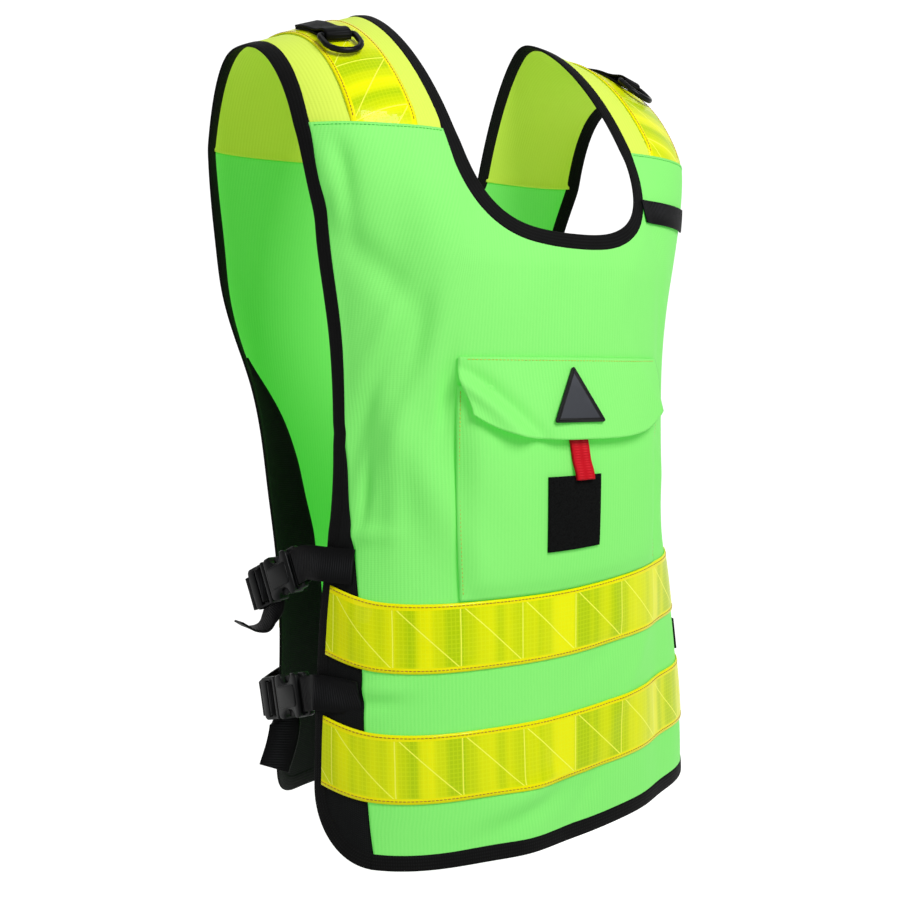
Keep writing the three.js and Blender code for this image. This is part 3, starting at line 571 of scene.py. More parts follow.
def ribbed_knit(name, colour, shade, painted_glow, strength):
    # The emission is a painted glow: it shines the same in light and in shade
    material, tree, shader = new_material(
        name, colour, Specular_IOR_Level=0.2, Sheen_Weight=0.04,
        Emission_Color=linear(painted_glow), Emission_Strength=strength,
    )
    spot = coordinates(tree)
    ribs = stripes(tree, spot["UV"], RIB_SPACING)
    loops = stripes(tree, spot["UV"], LOOP_SPACING, "Y")
    dye = noise(tree, spot["Object"], 14.0, 3.0)
    knit = maths(tree, "MULTIPLY_ADD", loops, 0.25, ribs)
    # Painted shade: the grooves between the ribs take the shade colour, more where the dye noise is strong
    dye_and_groove_shade = maths(tree, "MULTIPLY", dye, spread(tree, ribs, 0.35, 0.0))
    wire(
        tree, shader, Base_Color=blend(tree, dye_and_groove_shade, colour, shade), Normal=bumps(tree, knit, 0.22, 0.4),
        Roughness=spread(tree, dye, 0.6, 0.82),
    )
    return material


# The third colour is the painted shade in the rib grooves, the fourth that of the painted glow
green_knit = ribbed_knit("fluorescent_green_polyester_knit", "#86cc70", "#62c058", "#18ff30", 0.24)
yellow_knit = ribbed_knit("fluorescent_yellow_polyester_knit", "#c6d553", "#b1c43c", "#c1ff08", 0.16)
print("knits:", green_knit.name, yellow_knit.name)

# %% [markdown]
# ## Black cloth, binding and webbing
# The side panels are a plain woven nylon. The binding is a thin ribbed tape folded round the edges, and the
# straps are heavy polypropylene webbing whose weft shows as close ridges across it. All are dyed black, so
# their weave shows only in the sheen. Small bumps make it, with a painted sheen: the ridges are painted a
# lighter colour, more in some places than in others. The red tab's webbing is woven in the same way.


# %% Weaves
def woven(name, colour, light, ridge_mm, column_mm, depth, roughness):
    material, tree, shader = new_material(name, colour, Roughness=roughness, Specular_IOR_Level=0.08)
    spot = coordinates(tree)
    ridges = stripes(tree, spot["UV"], ridge_mm)
    columns = stripes(tree, spot["UV"], column_mm, "Y", Distortion=0.6, Detail_Scale=2.0)
    weave = maths(tree, "MULTIPLY", ridges, columns)
    # Painted sheen: the ridges take the lighter colour, more in some places than in others
    painted_ridge_sheen = maths(tree, "MULTIPLY", weave, noise(tree, spot["Object"], 60.0, 4.0))
    wire(tree, shader, Base_Color=blend(tree, painted_ridge_sheen, colour, light), Normal=bumps(tree, weave, 0.6, depth))
    return material


black_cloth = woven("black_woven_nylon", "#0c0d0d", "#222425", 1.6, 1.6, 0.3, 0.75)
black_binding = woven("black_ribbed_binding", "#0a0a0a", "#1e1f20", 1.8, 2.4, 0.3, 0.7)
black_webbing = woven("black_polypropylene_webbing", "#0a0a0b", "#2a2b2e", 2.0, 26, 0.5, 0.6)
red_webbing = woven("red_polypropylene_webbing", "#b80c1c", "#e2303c", 2.0, 8.0, 0.5, 0.6)
GREEN, YELLOW = (green_knit, "green_cloth"), (yellow_knit, "yellow_cloth")
BLACK, STRAP = (black_cloth, "black_cloth"), (black_webbing, "black_webbing")
print("weaves:", 4)

# %% [markdown]
# ## Panels, side panels and yokes
# The front and back are one cloth each, cut round the neck and the arms. The black side panels carry on from
# them under the ends of the tapes, with their edges lapped behind the green. The yellow yokes join front and
# back over the shoulders. Their ends tuck in behind the green cloth too, as a sewn seam does.

# %% Cloth body
SEAM_LAP, LAP_DEPTH = 2 / SEAM_REACH, CLOTH + 0.5
YOKE_REACH, TUCK_START, YOKE_TUCK = 1.02, 0.985, 1.3


def tuck_in(q, start, end, depth):
    """How far a piece goes down behind the cloth at its ends."""
    return depth * ease((np.abs(q) - start) / (end - start))


for face in FACES:
    def panel_place(u, v):
        angle, height = panel_spot(face, mix(-PANEL_COLUMNS, PANEL_COLUMNS, u), mix(HEM, PANEL_TOP, v))
        return cloth(face, angle, height, CLOTH / 2)
    make_piece(f"{face}_panel", "knit", (190, 150), panel_place, GREEN, CLOTH, levels=0)

for side, hand in SIDES.items():
    for face in FACES:
        def side_place(u, v):
            k = hand * (PANEL_COLUMNS + np.maximum(1e-6, u * SIDE_COLUMNS))
            angle, height = side_spot(face, k, mix(HEM, SIDE_TOP[face], v))
            lap = np.isclose(u, 0)
            return cloth(face, angle - hand * lap * SEAM_LAP, height, CLOTH / 2 - lap * LAP_DEPTH)
        make_piece(f"{face}_side_panel_{side}", "nylon", (12, 60), side_place, BLACK, CLOTH)

    def yoke_place(u, v):
        x, q = hand * mix(NECK_HALF, SHOULDER_HALF, u), mix(-1, 1, v) * YOKE_REACH
        return yoke_point(x, q, CLOTH / 2 - tuck_in(q, TUCK_START, 1, YOKE_TUCK))
    make_piece(f"shoulder_yoke_{side}", "knit", (20, 44), yoke_place, YELLOW, CLOTH)

# %% [markdown]
# ## Bound edges
# Each raw edge is closed by a tape folded over it. The binding follows the edge as a flat tube with rounded
# sides that laps a few millimetres over the cloth, which is what the folded tape looks like once it is sewn.


# %% Bindings
def cloth_stations(face, angle, height, lift=CLOTH / 2):
    point = cloth(face, angle, height, lift)
    return point, cloth(face, angle, height, lift + 1) - point


def yoke_stations(x, q):
    return yoke_point(x, q, np.full_like(q, CLOTH / 2)), yoke_normal(np.full_like(q, x), q)


def even_path(points, normals, step):
    """The same path with its stations an even step apart."""
    run = lengths(points, 0)
    at = np.linspace(0, run[-1], max(2, round(run[-1] / step)) + 1)
    evened = [np.stack([np.interp(at, run, column) for column in array.T], -1) for array in (points, normals)]
    return evened[0], unit(evened[1])


def binding_mesh(name, stations, turn, closed=False, step=5):
    points, normals = (np.concatenate(group) for group in zip(*stations))
    if closed:
        points, normals = (np.concatenate([group, group[:1]]) for group in (points, normals))
    points, normals = even_path(points, normals, step)
    if closed:
        around = np.concatenate([points[-2:-1], points, points[1:2]])
    else:
        around = np.concatenate([2 * points[:1] - points[1:2], points, 2 * points[-1:] - points[-2:-1]])
    away = unit(np.cross(normals, around[2:] - around[:-2])) * turn
    last = len(points) - 1

    def place(u, v):
        i = np.rint(u * last).astype(int)
        waves = np.cos(2 * math.pi * v), np.sin(2 * math.pi * v)
        round_corner = [np.sign(wave) * np.abs(wave) ** BINDING_ROUNDING for wave in waves]
        off = EDGE_GAP - BINDING_OVERLAP + (BINDING_WIDTH + BINDING_OVERLAP) * (0.5 + 0.5 * round_corner[0])
        out = round_corner[1] * BINDING_THICKNESS / 2
        return points[i] + away[i] * off[:, None] + normals[i] * out[:, None]
    return bent_grid(name, last, 12, place, wrapped=True)


# How far the hem bindings lap past the side seams, in columns
HEM_LAP = 0.1
STATIONS, CORNER_STATIONS, NECK_STATIONS, HEM_STATIONS = 40, 14, 60, 70


def bind(name, stations, turn, closed=False):
    mesh = binding_mesh(f"{name}_tape", stations, turn, closed)
    dress(mesh, black_binding, [name], levels=1)


def backwards(stations):
    return tuple(group[::-1] for group in stations)


def over_shoulder(x):
    return yoke_stations(x, np.linspace(-1, 1, STATIONS))


def neckline(face):
    k = np.linspace(-NECK_COLUMNS, NECK_COLUMNS, NECK_STATIONS)[1:-1]
    return cloth_stations(face, *panel_spot(face, k, np.full_like(k, PANEL_TOP)))


for side, hand in SIDES.items():
    def lane(face):
        out = np.linspace(0, SIDE_COLUMNS, CORNER_STATIONS)
        k = hand * (PANEL_COLUMNS + np.concatenate([out, np.full(STATIONS, SIDE_COLUMNS)]))
        up = np.linspace(HEM, SIDE_TOP[face], STATIONS + 2)[1:-1]
        return cloth_stations(face, *side_spot(face, k, np.concatenate([np.full_like(out, HEM), up])))

    def arm(face):
        row = np.linspace(SIDE_TOP[face], PANEL_TOP, STATIONS)[:-1]
        return cloth_stations(face, *panel_spot(face, np.full_like(row, hand * PANEL_COLUMNS), row))

    front, back = [lane("front"), arm("front")], [backwards(arm("back")), backwards(lane("back"))]
    bind(f"edge_binding_{side}", [*front, over_shoulder(hand * SHOULDER_HALF), *back], -hand)

for face in FACES:
    k = np.linspace(-1, 1, HEM_STATIONS) * (PANEL_COLUMNS + HEM_LAP)
    level = np.full_like(k, HEM)
    bind(f"{face}_hem_binding", [cloth_stations(face, whole_angle(face, k, level), level)], facing(face))

left, right = over_shoulder(NECK_HALF), over_shoulder(-NECK_HALF)
bind("neck_binding", [neckline("front"), left, backwards(neckline("back")), backwards(right)], 1, closed=True)

# %% [markdown]
# ## Reflective tape
# The tape is clear PVC over tiny prisms, welded into cells. Weld lines cross it every 50 mm, with a diagonal
# in each cell, and its borders are plain film where it is sewn down. The light that the prisms send back is
# painted into the colour as upright bands at random along the tape, lime for prisms that turn away from the
# light and yellow for those that face it, over a grid of about 3 mm. A faint emission adds a painted glow.
# The film on top is glossy, and bending makes it ripple a little.

# %% Prismatic tape
CELL, BORDER, PRISM = 50, 4.2, 3.2


def prismatic_tape(name):
    # The small emission, in the tape's own colour, is a painted glow
    material, tree, shader = new_material(
        name, "#d6e000", Roughness=0.35, Specular_IOR_Level=0.06, Coat_Weight=0.16, Coat_Roughness=0.05,
        Emission_Strength=0.05,
    )

    def work_out(operation, *values):
        return maths(tree, operation, *values)

    def off_middle(value):
        return work_out("ABSOLUTE", work_out("SUBTRACT", value, 0.5))

    uv = coordinates(tree)["UV"]
    along, across = add_node(tree, "ShaderNodeSeparateXYZ", {0: uv}).outputs[:2]
    cell = work_out("FRACT", work_out("DIVIDE", along, CELL * MM))
    within = work_out("SUBTRACT", across, BORDER * MM)
    level = work_out("DIVIDE", within, (TAPE_WIDTH - 2 * BORDER) * MM)
    inside = work_out("LESS_THAN", off_middle(level), 0.5)
    upright = work_out("GREATER_THAN", off_middle(cell), 0.491)
    slant = work_out("SUBTRACT", work_out("ADD", work_out("MULTIPLY", cell, 1.12), level), 1.08)
    diagonal = work_out("LESS_THAN", work_out("ABSOLUTE", slant), 0.014)
    weld = work_out("MULTIPLY", work_out("MAXIMUM", upright, diagonal), inside)
    prisms = [stripes(tree, uv, PRISM, way) for way in "XY"]
    grid = work_out("POWER", work_out("MAXIMUM", *prisms), 8.0)
    # Painted reflection: random bands along the tape, lime for prisms turned away from the light, yellow for
    # those facing it
    inputs = {"W": along, "Scale": 34.0, "Detail": 2.0}
    painted_reflection_bands = add_node(tree, "ShaderNodeTexNoise", inputs, noise_dimensions="1D").outputs[0]
    field = blend(tree, spread(tree, painted_reflection_bands, 0.0, 1.0, 0.38, 0.62), "#e2e400", "#a9c400")
    field = blend(tree, work_out("MULTIPLY", grid, 0.3), field, "#dcea20")
    tape = blend(tree, weld, blend(tree, inside, "#e4e000", field), "#eaf050")
    relief = work_out("SUBTRACT", work_out("MULTIPLY", grid, 0.25), weld)
    wire(
        tree, shader, Base_Color=tape, Emission_Color=tape, Normal=bumps(tree, relief, 0.4, 0.4),
        Coat_Normal=bumps(tree, noise(tree, uv, 70.0, 1.0), 0.5, 2),
    )
    return material


prismatic_film = prismatic_tape("prismatic_pvc_tape")

# %% Tapes
FILM = (prismatic_film, "reflective_tape")
ACROSS = PANEL_COLUMNS + SIDE_COLUMNS
YOKE_LENGTH = 230
RIPPLES = [
    # length, start, height
    (47, 0.0, 0.35),
    (29, 1.7, 0.22),
    (71, 4.1, 0.4),
]
RIPPLE_FLOOR = -0.2


def ripple(along, v, seed, share=1.0):
    """Small waves in the film, by millimetres along and a fraction across it, ending at its borders."""
    total = 0
    for length, start, high in RIPPLES:
        total = total + high * np.sin(2 * math.pi * along / length + start + seed + 1.5 * v)
    return np.maximum(RIPPLE_FLOOR, share * total) * np.sin(math.pi * v)


seed = 0
for face in FACES:
    for level, foot in TAPE_FEET.items():
        def tape_place(u, v):
            height = foot + v * TAPE_WIDTH
            angle = whole_angle(face, mix(-ACROSS, ACROSS, u), height)
            return cloth(face, angle, height, ON_CLOTH + TAPE / 2 + ripple(angle * FOLD_REACH, v, seed))
        make_piece(f"{face}_tape_{level}", "film", (150, 12), tape_place, FILM, TAPE)
        seed += 1

for side, hand in SIDES.items():
    def shoulder_place(u, v):
        x, q = hand * mix(NECK_HALF, SHOULDER_HALF, 0.25 + 0.5 * v), mix(-1, 1, u) * YOKE_REACH
        tuck = tuck_in(q, 0.93, 0.98, 1.1) + tuck_in(q, TUCK_START, 1, 1.6)
        wave = ripple(u * YOKE_LENGTH, v, hand, 0.7)
        return yoke_point(x, q, ON_CLOTH + TAPE / 2 + wave - tuck)
    make_piece(f"shoulder_tape_{side}", "film", (70, 12), shoulder_place, FILM, TAPE)

# %% [markdown]
# ## Belly pocket
# The pocket is a flat bag of the same green knit, sewn down on three sides, that swells a little off the
# front. Its flap is sewn along the top, has rounded lower corners and hangs a finger's width off the bag.

# %% Pocket and flap
POCKET_HALF, POCKET_MOUTH, POCKET_BOTTOM = 97, -276, -421
FLAP_HALF, FLAP_TOP, FLAP_DROP, FLAP_SIDE_DROP, FLAP_STAND = 97, -256, 60, 41, 15
SWELL = table("height lift", (POCKET_BOTTOM, 0), (-408, 5), (-370, 7.5), (-320, 7), (POCKET_MOUTH, 2))
SWELL_MARGIN, SWELL_POWER = 16, 0.7
# Faint drag lines slant across the wearer's right half of the pocket
DRAG_HEIGHT, DRAG_SLANT, DRAG_LENGTH, DRAG_START, DRAG_FADE = 0.9, 0.7, 13, -20, -70
# The flap's crease is a ridge beside a hollow, each with its height, offset and width
FLAP_CREASE = [(4.0, 17, 12), (-4.6, 0, 11)]
CREASE_START, CREASE_SLANT, FLAP_TAPER, FLAP_CORNER = 104, 62, 0.09, 3.5


def on_front(x, height, lift):
    return cloth("front", angle_at("front", x, height), height, lift)


def pocket_lift(x, height):
    margin = ease((POCKET_HALF - np.abs(x)) / SWELL_MARGIN) ** SWELL_POWER
    return ON_FOLDS + smooth(SWELL, "lift", height) * margin


def pocket_place(u, v):
    x, height = mix(-POCKET_HALF, POCKET_HALF, u), mix(POCKET_BOTTOM, POCKET_MOUTH, v)
    drag = DRAG_HEIGHT * np.sin((x + DRAG_SLANT * height) / DRAG_LENGTH) * np.sin(math.pi * v)
    drag = drag * ease((x - DRAG_START) / DRAG_FADE)
    return on_front(x, height, pocket_lift(x, height) + CLOTH / 2 + drag)


def flap_drop(x):
    return FLAP_DROP - (FLAP_DROP - FLAP_SIDE_DROP) * np.abs(x / FLAP_HALF) ** FLAP_CORNER


def flap_lift(height):
    return ON_FOLDS + FLAP_STAND * ((FLAP_TOP - height) / FLAP_DROP)


def flap_place(u, v):
    x = mix(-FLAP_HALF, FLAP_HALF, u)
    height = FLAP_TOP - (1 - v) * flap_drop(x)
    taper = FLAP_TAPER * ease((0.7 - v) / 0.7) * np.abs(u * 2 - 1)
    line = x + CREASE_START - CREASE_SLANT * (1 - v)
    fold = sum(high * np.exp(-(((line + offset) / width) ** 2)) for high, offset, width in FLAP_CREASE)
    lift = flap_lift(height) + CLOTH / 2 + fold * ease((1 - v) / 0.4)
    return on_front(x * (1 - taper), height, lift)


make_piece("pocket_bag", "knit", (48, 36), pocket_place, GREEN, CLOTH)
make_piece("pocket_flap", "knit", (48, 18), flap_place, GREEN, CLOTH)
print("pocket is", 2 * POCKET_HALF, "mm wide")

# %% [markdown]
# ## Patch, tab, chest strip and badge
# Under the flap are a red webbing tab and a black hook-and-loop patch, whose loops are a dense dark pile.
# A short strip of black webbing is sewn to the wearer's left chest. The badge on the flap is a soft moulded
# triangle with a raised rim, left bare.

# %% Hook-and-loop and rubber
TUFT = 1.1
loop_pile, tree, shader = new_material(
    "black_hook_and_loop", "#0a0a0a", Roughness=0.95, Specular_IOR_Level=0.05
)
inputs = {"Vector": coordinates(tree)["Object"], "Scale": 1 / (TUFT * MM)}
tufts_and_gap_shade = add_node(tree, "ShaderNodeTexVoronoi", inputs).outputs[0]
wire(
    # Painted shade and highlight: the gaps between the tufts are darker and the tufts' tops lighter
    tree, shader, Base_Color=blend(tree, tufts_and_gap_shade, "#161717", "#060606"),
    Normal=bumps(tree, tufts_and_gap_shade, 0.5, 0.5, invert=True),
)


def moulded(name, colour, light, roughness, grain_mm, depth, shine=0.3):
    """A moulded material: a fine spark-eroded grain and paler rubbed places."""
    material, tree, shader = new_material(name, colour, Specular_IOR_Level=shine)
    spot = coordinates(tree)["Object"]
    grain = noise(tree, spot, 1 / (grain_mm * MM))
    rub = noise(tree, spot, 45.0, 5.0)
    worn = spread(tree, rub, 0.0, 1.0, 0.45, 0.75)
    wire(
        tree, shader, Base_Color=blend(tree, worn, colour, light), Normal=bumps(tree, grain, 0.25, depth),
        Roughness=spread(tree, rub, roughness - 0.1, roughness + 0.12),
    )
    return material


black_acetal = moulded("black_moulded_acetal", "#0b0c0d", "#151617", 0.34, 0.9, 0.12, shine=0.14)
badge_rubber = moulded("black_soft_pvc", "#0e0f10", "#18191b", 0.55, 0.7, 0.1)
badge_face = moulded("grey_soft_pvc", "#33353b", "#3f4148", 0.6, 0.7, 0.1)
print("mouldings:", black_acetal.name, badge_rubber.name)

# %% Patch, tab and strip
PATCH_X, PATCH_HALF, PATCH_TOP, PATCH_BOTTOM, PATCH_THICKNESS = -9, 24, -341, -391, 1.6
TAB_WIDTH, TAB_TOP, TAB_BOTTOM, TAB_THICKNESS, TAB_TOP_X, TAB_BOTTOM_X = 16, -304, -344, 2.8, -9, -2
STRIP_INNER, STRIP_OUTER, STRIP_TOP, STRIP_BOTTOM = 84, 152, -131, -149


def patch_lift(x, height):
    return pocket_lift(x, height) + CLOTH + GAP


def patch_place(u, v):
    x = PATCH_X + mix(-PATCH_HALF, PATCH_HALF, u)
    height = mix(PATCH_BOTTOM, PATCH_TOP, v)
    return on_front(x, height, patch_lift(x, height) + PATCH_THICKNESS / 2)


def tab_place(u, v):
    x = mix(TAB_BOTTOM_X, TAB_TOP_X, u) + (v - 0.5) * TAB_WIDTH
    height = mix(TAB_BOTTOM, TAB_TOP, u)
    over = (PATCH_THICKNESS + GAP) * ease((0.35 - u) / 0.25) + 0.3
    return on_front(x, height, patch_lift(x, height) + over + TAB_THICKNESS / 2)


def strip_place(u, v):
    height = mix(STRIP_BOTTOM, STRIP_TOP, v)
    return on_front(mix(STRIP_INNER, STRIP_OUTER, u), height, ON_CLOTH + 0.5 + WEBBING / 2)


make_piece("hook_patch", "pile", (16, 16), patch_place, (loop_pile, "black_cloth"), PATCH_THICKNESS)
make_piece("pull_tab", "webbing", (20, 8), tab_place, (red_webbing, "red_webbing"), TAB_THICKNESS)
make_piece("chest_strip", "webbing", (30, 8), strip_place, STRAP, WEBBING)

# %% Badge
BADGE_WIDTH, BADGE_HEIGHT, BADGE_THICKNESS, BADGE_X, BADGE_BASE = 50, 44, 2.4, -9, -304
BADGE_CORNER, RIM_WIDTH, RIM_SLOPE, RIM_DEPTH, RIM_BEVEL = 3, 2.2, 0.6, 0.8, 0.4


def raise_faces(bm, faces, height):
    """Extrudes faces upwards and returns their raised corners."""
    raised = bmesh.ops.extrude_face_region(bm, geom=faces)["geom"]
    tops = [part for part in raised if isinstance(part, bmesh.types.BMVert)]
    bmesh.ops.translate(bm, verts=tops, vec=(0, 0, height))
    return tops


def on_flap(height):
    at = np.array(float(height))
    return Vector(on_front(np.array(float(BADGE_X)), at, flap_lift(at) + CLOTH + 0.6))


badge_foot = on_flap(BADGE_BASE)
badge_up = (on_flap(BADGE_BASE + BADGE_HEIGHT) - badge_foot).normalized()
badge_out = Vector((1, 0, 0)).cross(badge_up)
badge_frame = Matrix((Vector((1, 0, 0)), badge_up, badge_out)).transposed().to_4x4()
badge_frame.translation = badge_foot
bm = bmesh.new()
bmesh.ops.create_circle(bm, cap_ends=True, segments=3, radius=BADGE_WIDTH / math.sqrt(3))
bmesh.ops.translate(bm, verts=bm.verts, vec=(0, BADGE_WIDTH / math.sqrt(12), 0))
bmesh.ops.bevel(
    bm, geom=bm.verts, offset=BADGE_CORNER, affect="VERTICES", segments=5, profile=0.5, material=-1
)
raise_faces(bm, bm.faces[:], BADGE_THICKNESS)
bmesh.ops.recalc_face_normals(bm, faces=bm.faces)
top = max(bm.faces, key=lambda face: face.calc_center_median().z)
bmesh.ops.inset_region(bm, faces=[top], thickness=RIM_WIDTH, depth=0)
bmesh.ops.inset_region(bm, faces=[top], thickness=RIM_SLOPE, depth=-RIM_DEPTH)
top.material_index = 1
bmesh.ops.transform(bm, matrix=Matrix.Scale(MM, 4) @ badge_frame, verts=bm.verts)
mesh = finished_mesh(bm, "flap_badge_rubber")
badge = dress(mesh, badge_rubber, ["flap_badge"])
mesh.materials.append(badge_face)
badge.modifiers.new("soft_rim", "BEVEL").width = RIM_BEVEL * MM
print("badge faces:", len(mesh.polygons))

# %% [markdown]
# ## Webbing
# A strap is a ribbon that keeps its width while it bends and twists. Its route is a smooth curve through a
# few stations, each with the way that lies across the strap there.

# %% Ribbons
STRAP_WIDTH, KEEPER_WIDTH = 26, 20


def smooth_curve(points, steps, closed=False):
    """A centripetal Catmull-Rom curve through points, with an equal number of steps between each pair."""
    points = np.asarray(points, float)
    if closed:
        ring = np.concatenate([points[-1:], points, points[:2]])
    else:
        ring = np.concatenate([2 * points[:1] - points[1:2], points, 2 * points[-1:] - points[-2:-1]])
    t = np.linspace(0, 1, steps + 1)[:-1, None]
    curve = []
    for a, b, c, d in zip(ring, ring[1:], ring[2:], ring[3:]):
        before, here, after = (max(np.linalg.norm(q - p), 1e-6) ** 0.5 for p, q in ((a, b), (b, c), (c, d)))
        leave = ((b - a) / before - (c - a) / (before + here) + (c - b) / here) * here
        arrive = ((c - b) / here - (d - b) / (here + after) + (d - c) / after) * here
        bend = 2 * (b - c) + leave + arrive
        curve.append(b + leave * t + (3 * (c - b) - 2 * leave - arrive) * t**2 + bend * t**3)
    return np.concatenate(curve + ([] if closed else [points[-1:]]))


def ribbon(node, points, across, width=STRAP_WIDTH, step=2.5):
    """A strip of black webbing on a smooth route, as the visible piece of a node."""
    middle, sideways = smooth_curve(points, 12), smooth_curve(across, 12)
    middle, sideways = even_path(middle, sideways, step)
    along = unit(np.gradient(middle, axis=0))
    through = unit(np.cross(along, sideways))
    sideways = np.cross(through, along)
    last = len(middle) - 1

    def place(u, v):
        i = np.rint(u * last).astype(int)
        return middle[i] + sideways[i] * ((v - 0.5) * width)[:, None]
    make_piece(node, "webbing", (last, 6), place, STRAP, WEBBING)


# %% [markdown]
# ## D-rings
# Each D-ring is a round moulded bar bent into a D. Its straight side sits in a loop of webbing sewn to the
# shoulder, and the ring lies forward on the tape. The ring is its own body, so it rides on that.

# %% D-rings and keepers
RING_X, RING_Q, RING_BAR, RING_REACH, RING_SECTION = 146, -0.42, 28, 25, 4.6
FRONT_ARC = 150
BAR_LIFT = ON_TAPE + WEBBING + GAP + RING_SECTION / 2
HALF_BAR, CURVE = RING_BAR / 2, RING_REACH - RING_BAR / 2
RING_CANT = 1.6


def ring_outline():
    turn = np.linspace(0, math.pi, 13)
    bend = np.stack([HALF_BAR * np.cos(turn), CURVE + HALF_BAR * np.sin(turn)], -1)
    down = [(-HALF_BAR, 7), (-HALF_BAR, 3), (-HALF_BAR + 0.9, 0.9), (-HALF_BAR + 3, 0)]
    bar = [(x, 0) for x in (-5, 0, 5)]
    flat = np.array([*bend, *down, *bar, *[(-x, y) for x, y in reversed(down)]])
    return np.column_stack([flat, -RING_CANT * ease(flat[:, 1] / RING_REACH)])


for side, hand in SIDES.items():
    x, q = np.array(float(hand * RING_X)), np.array(RING_Q)
    normal = yoke_normal(x, q)
    bar_way = unit(yoke_form(x + hand, q) - yoke_form(x - hand, q))
    forward = unit(np.cross(bar_way, normal)) * hand
    axes = np.stack([bar_way, forward, normal])
    path = smooth_curve(ring_outline(), 4, closed=True) @ axes + yoke_point(x, q, BAR_LIFT)
    tangents = unit(np.roll(path, -1, 0) - np.roll(path, 1, 0))
    inward = unit(np.cross(np.broadcast_to(normal, path.shape), tangents))
    upward = np.cross(tangents, inward)

    def ring_place(u, v):
        i = np.rint(u * len(path)).astype(int) % len(path)
        turn = 2 * math.pi * v
        section = inward[i] * np.cos(turn)[:, None] + upward[i] * np.sin(turn)[:, None]
        return path[i] + section * RING_SECTION / 2
    mesh = bent_grid(f"d_ring_{side}_moulding", len(path), 16, ring_place, wrapped=True)
    dress(mesh, black_acetal, [f"d_ring_{side}"], body=f"{side}_ring")

    low, high = ON_TAPE + WEBBING / 2, BAR_LIFT + RING_SECTION / 2 + GAP + WEBBING / 2
    flat = low + WEBBING + 2 * GAP
    loop = [
        (-42, low), (-29, low), (-17, low), (-8, low), (-1, low), (3.1, low + 1.2),
        ((high - low) / 2, BAR_LIFT), (3.1, high - 1.2), (-0.5, high),
        (-5, high - 0.8), (-11, flat + 1.4), (-17, flat), (-29, flat - GAP), (-42, flat - 1.5 * GAP),
    ]
    at = RING_Q - np.array([along for along, lift in loop]) / FRONT_ARC
    points = yoke_point(np.full_like(at, x), at, np.array([lift for along, lift in loop]))
    across = unit(yoke_form(x + 1, at) - yoke_form(x - 1, at))
    ribbon(f"d_ring_keeper_{side}", points, across, KEEPER_WIDTH, step=1.5)
print("ring path points:", len(path))

# %% [markdown]
# ## Side-release buckles
# A buckle has a socket, whose two half-moon windows show the prongs, and a plug with a ladder that the
# webbing is laced through. Both are moulded with soft rounded edges. They are modelled flat, with x back
# along the strap, y up across it and z out, and then set in place. The parts of each half are joined into one
# piece.

# %% Buckle halves
BUCKLE_HALF, BUCKLE_THICKNESS, FRAME_HALF, SLOT_HALF = 17, 11, 2.2, 13.8


def rounded_outline(x0, x1, half, radius, steps=5):
    corners = [(x1, half, 0), (x0, half, 90), (x0, -half, 180), (x1, -half, 270)]
    outline = []
    for x, y, start in corners:
        centre_x, centre_y = x - math.copysign(radius, x - (x0 + x1) / 2), y - math.copysign(radius, y)
        for i in range(steps + 1):
            turn = math.radians(start + 90 * i / steps)
            outline.append((centre_x + radius * math.cos(turn), centre_y + radius * math.sin(turn)))
    return outline


def windowed_outline(x0, x1, half, radius, window_x, window):
    """The socket's outline, with a half-moon taken out of its upper and lower edges."""
    outline = rounded_outline(x0, x1, half, radius)
    split = len(outline) // 4
    moon = [math.radians(a) for a in range(0, 181, 18)]
    upper = [(window_x + window * math.cos(a), half - window * math.sin(a)) for a in moon]
    lower = [(x, -y) for x, y in reversed(upper)]
    return outline[:split] + upper + outline[split:3 * split] + lower + outline[3 * split:]


def add_slab(bm, outline, low, high, bevel, hole=None):
    """An outline raised to a slab with rounded rims, and a slot through it where one is given."""
    loops = [[bm.verts.new((x, y, low)) for x, y in ring] for ring in (outline, hole) if ring]
    edges = [[bm.edges.new(pair) for pair in zip(ring, ring[1:] + ring[:1])] for ring in loops]
    if hole:
        faces = bmesh.ops.bridge_loops(bm, edges=edges[0] + edges[1])["faces"]
    else:
        faces = [bm.faces.new(loops[0])]
    tops = raise_faces(bm, faces, high - low)
    verts = set(tops) | {vert for ring in loops for vert in ring}
    rims = [
        edge for edge in bm.edges
        if set(edge.verts) <= verts and abs(edge.verts[0].co.z - edge.verts[1].co.z) < 1e-6
        and len(edge.link_faces) == 2
        and abs(edge.link_faces[0].normal.dot(edge.link_faces[1].normal)) < 0.5
    ]
    bmesh.ops.bevel(
        bm, geom=rims, offset=bevel, affect="EDGES", segments=3, profile=0.5, material=-1, clamp_overlap=True
    )


def buckle_mesh(name, slabs, place):
    bm = bmesh.new()
    for slab in slabs:
        part = bmesh.new()
        add_slab(part, *slab)
        bmesh.ops.recalc_face_normals(part, faces=part.faces)
        lump = finished_mesh(part, "lump")
        bm.from_mesh(lump)
        bpy.data.meshes.remove(lump)
    bmesh.ops.transform(bm, matrix=Matrix.Scale(MM, 4) @ place, verts=bm.verts)
    bmesh.ops.recalc_face_normals(bm, faces=bm.faces)
    return finished_mesh(bm, name)


def box_outline(x0, x1, y0, y1):
    return [(x1, y1), (x0, y1), (x0, y0), (x1, y0)]


def slotted(x0, x1, radius, slot):
    """A frame with a slot through it that the webbing passes."""
    outline = rounded_outline(x0, x1, BUCKLE_HALF - 0.5, radius)
    return outline, -FRAME_HALF, FRAME_HALF, 0.9, rounded_outline(*slot, SLOT_HALF, 1)


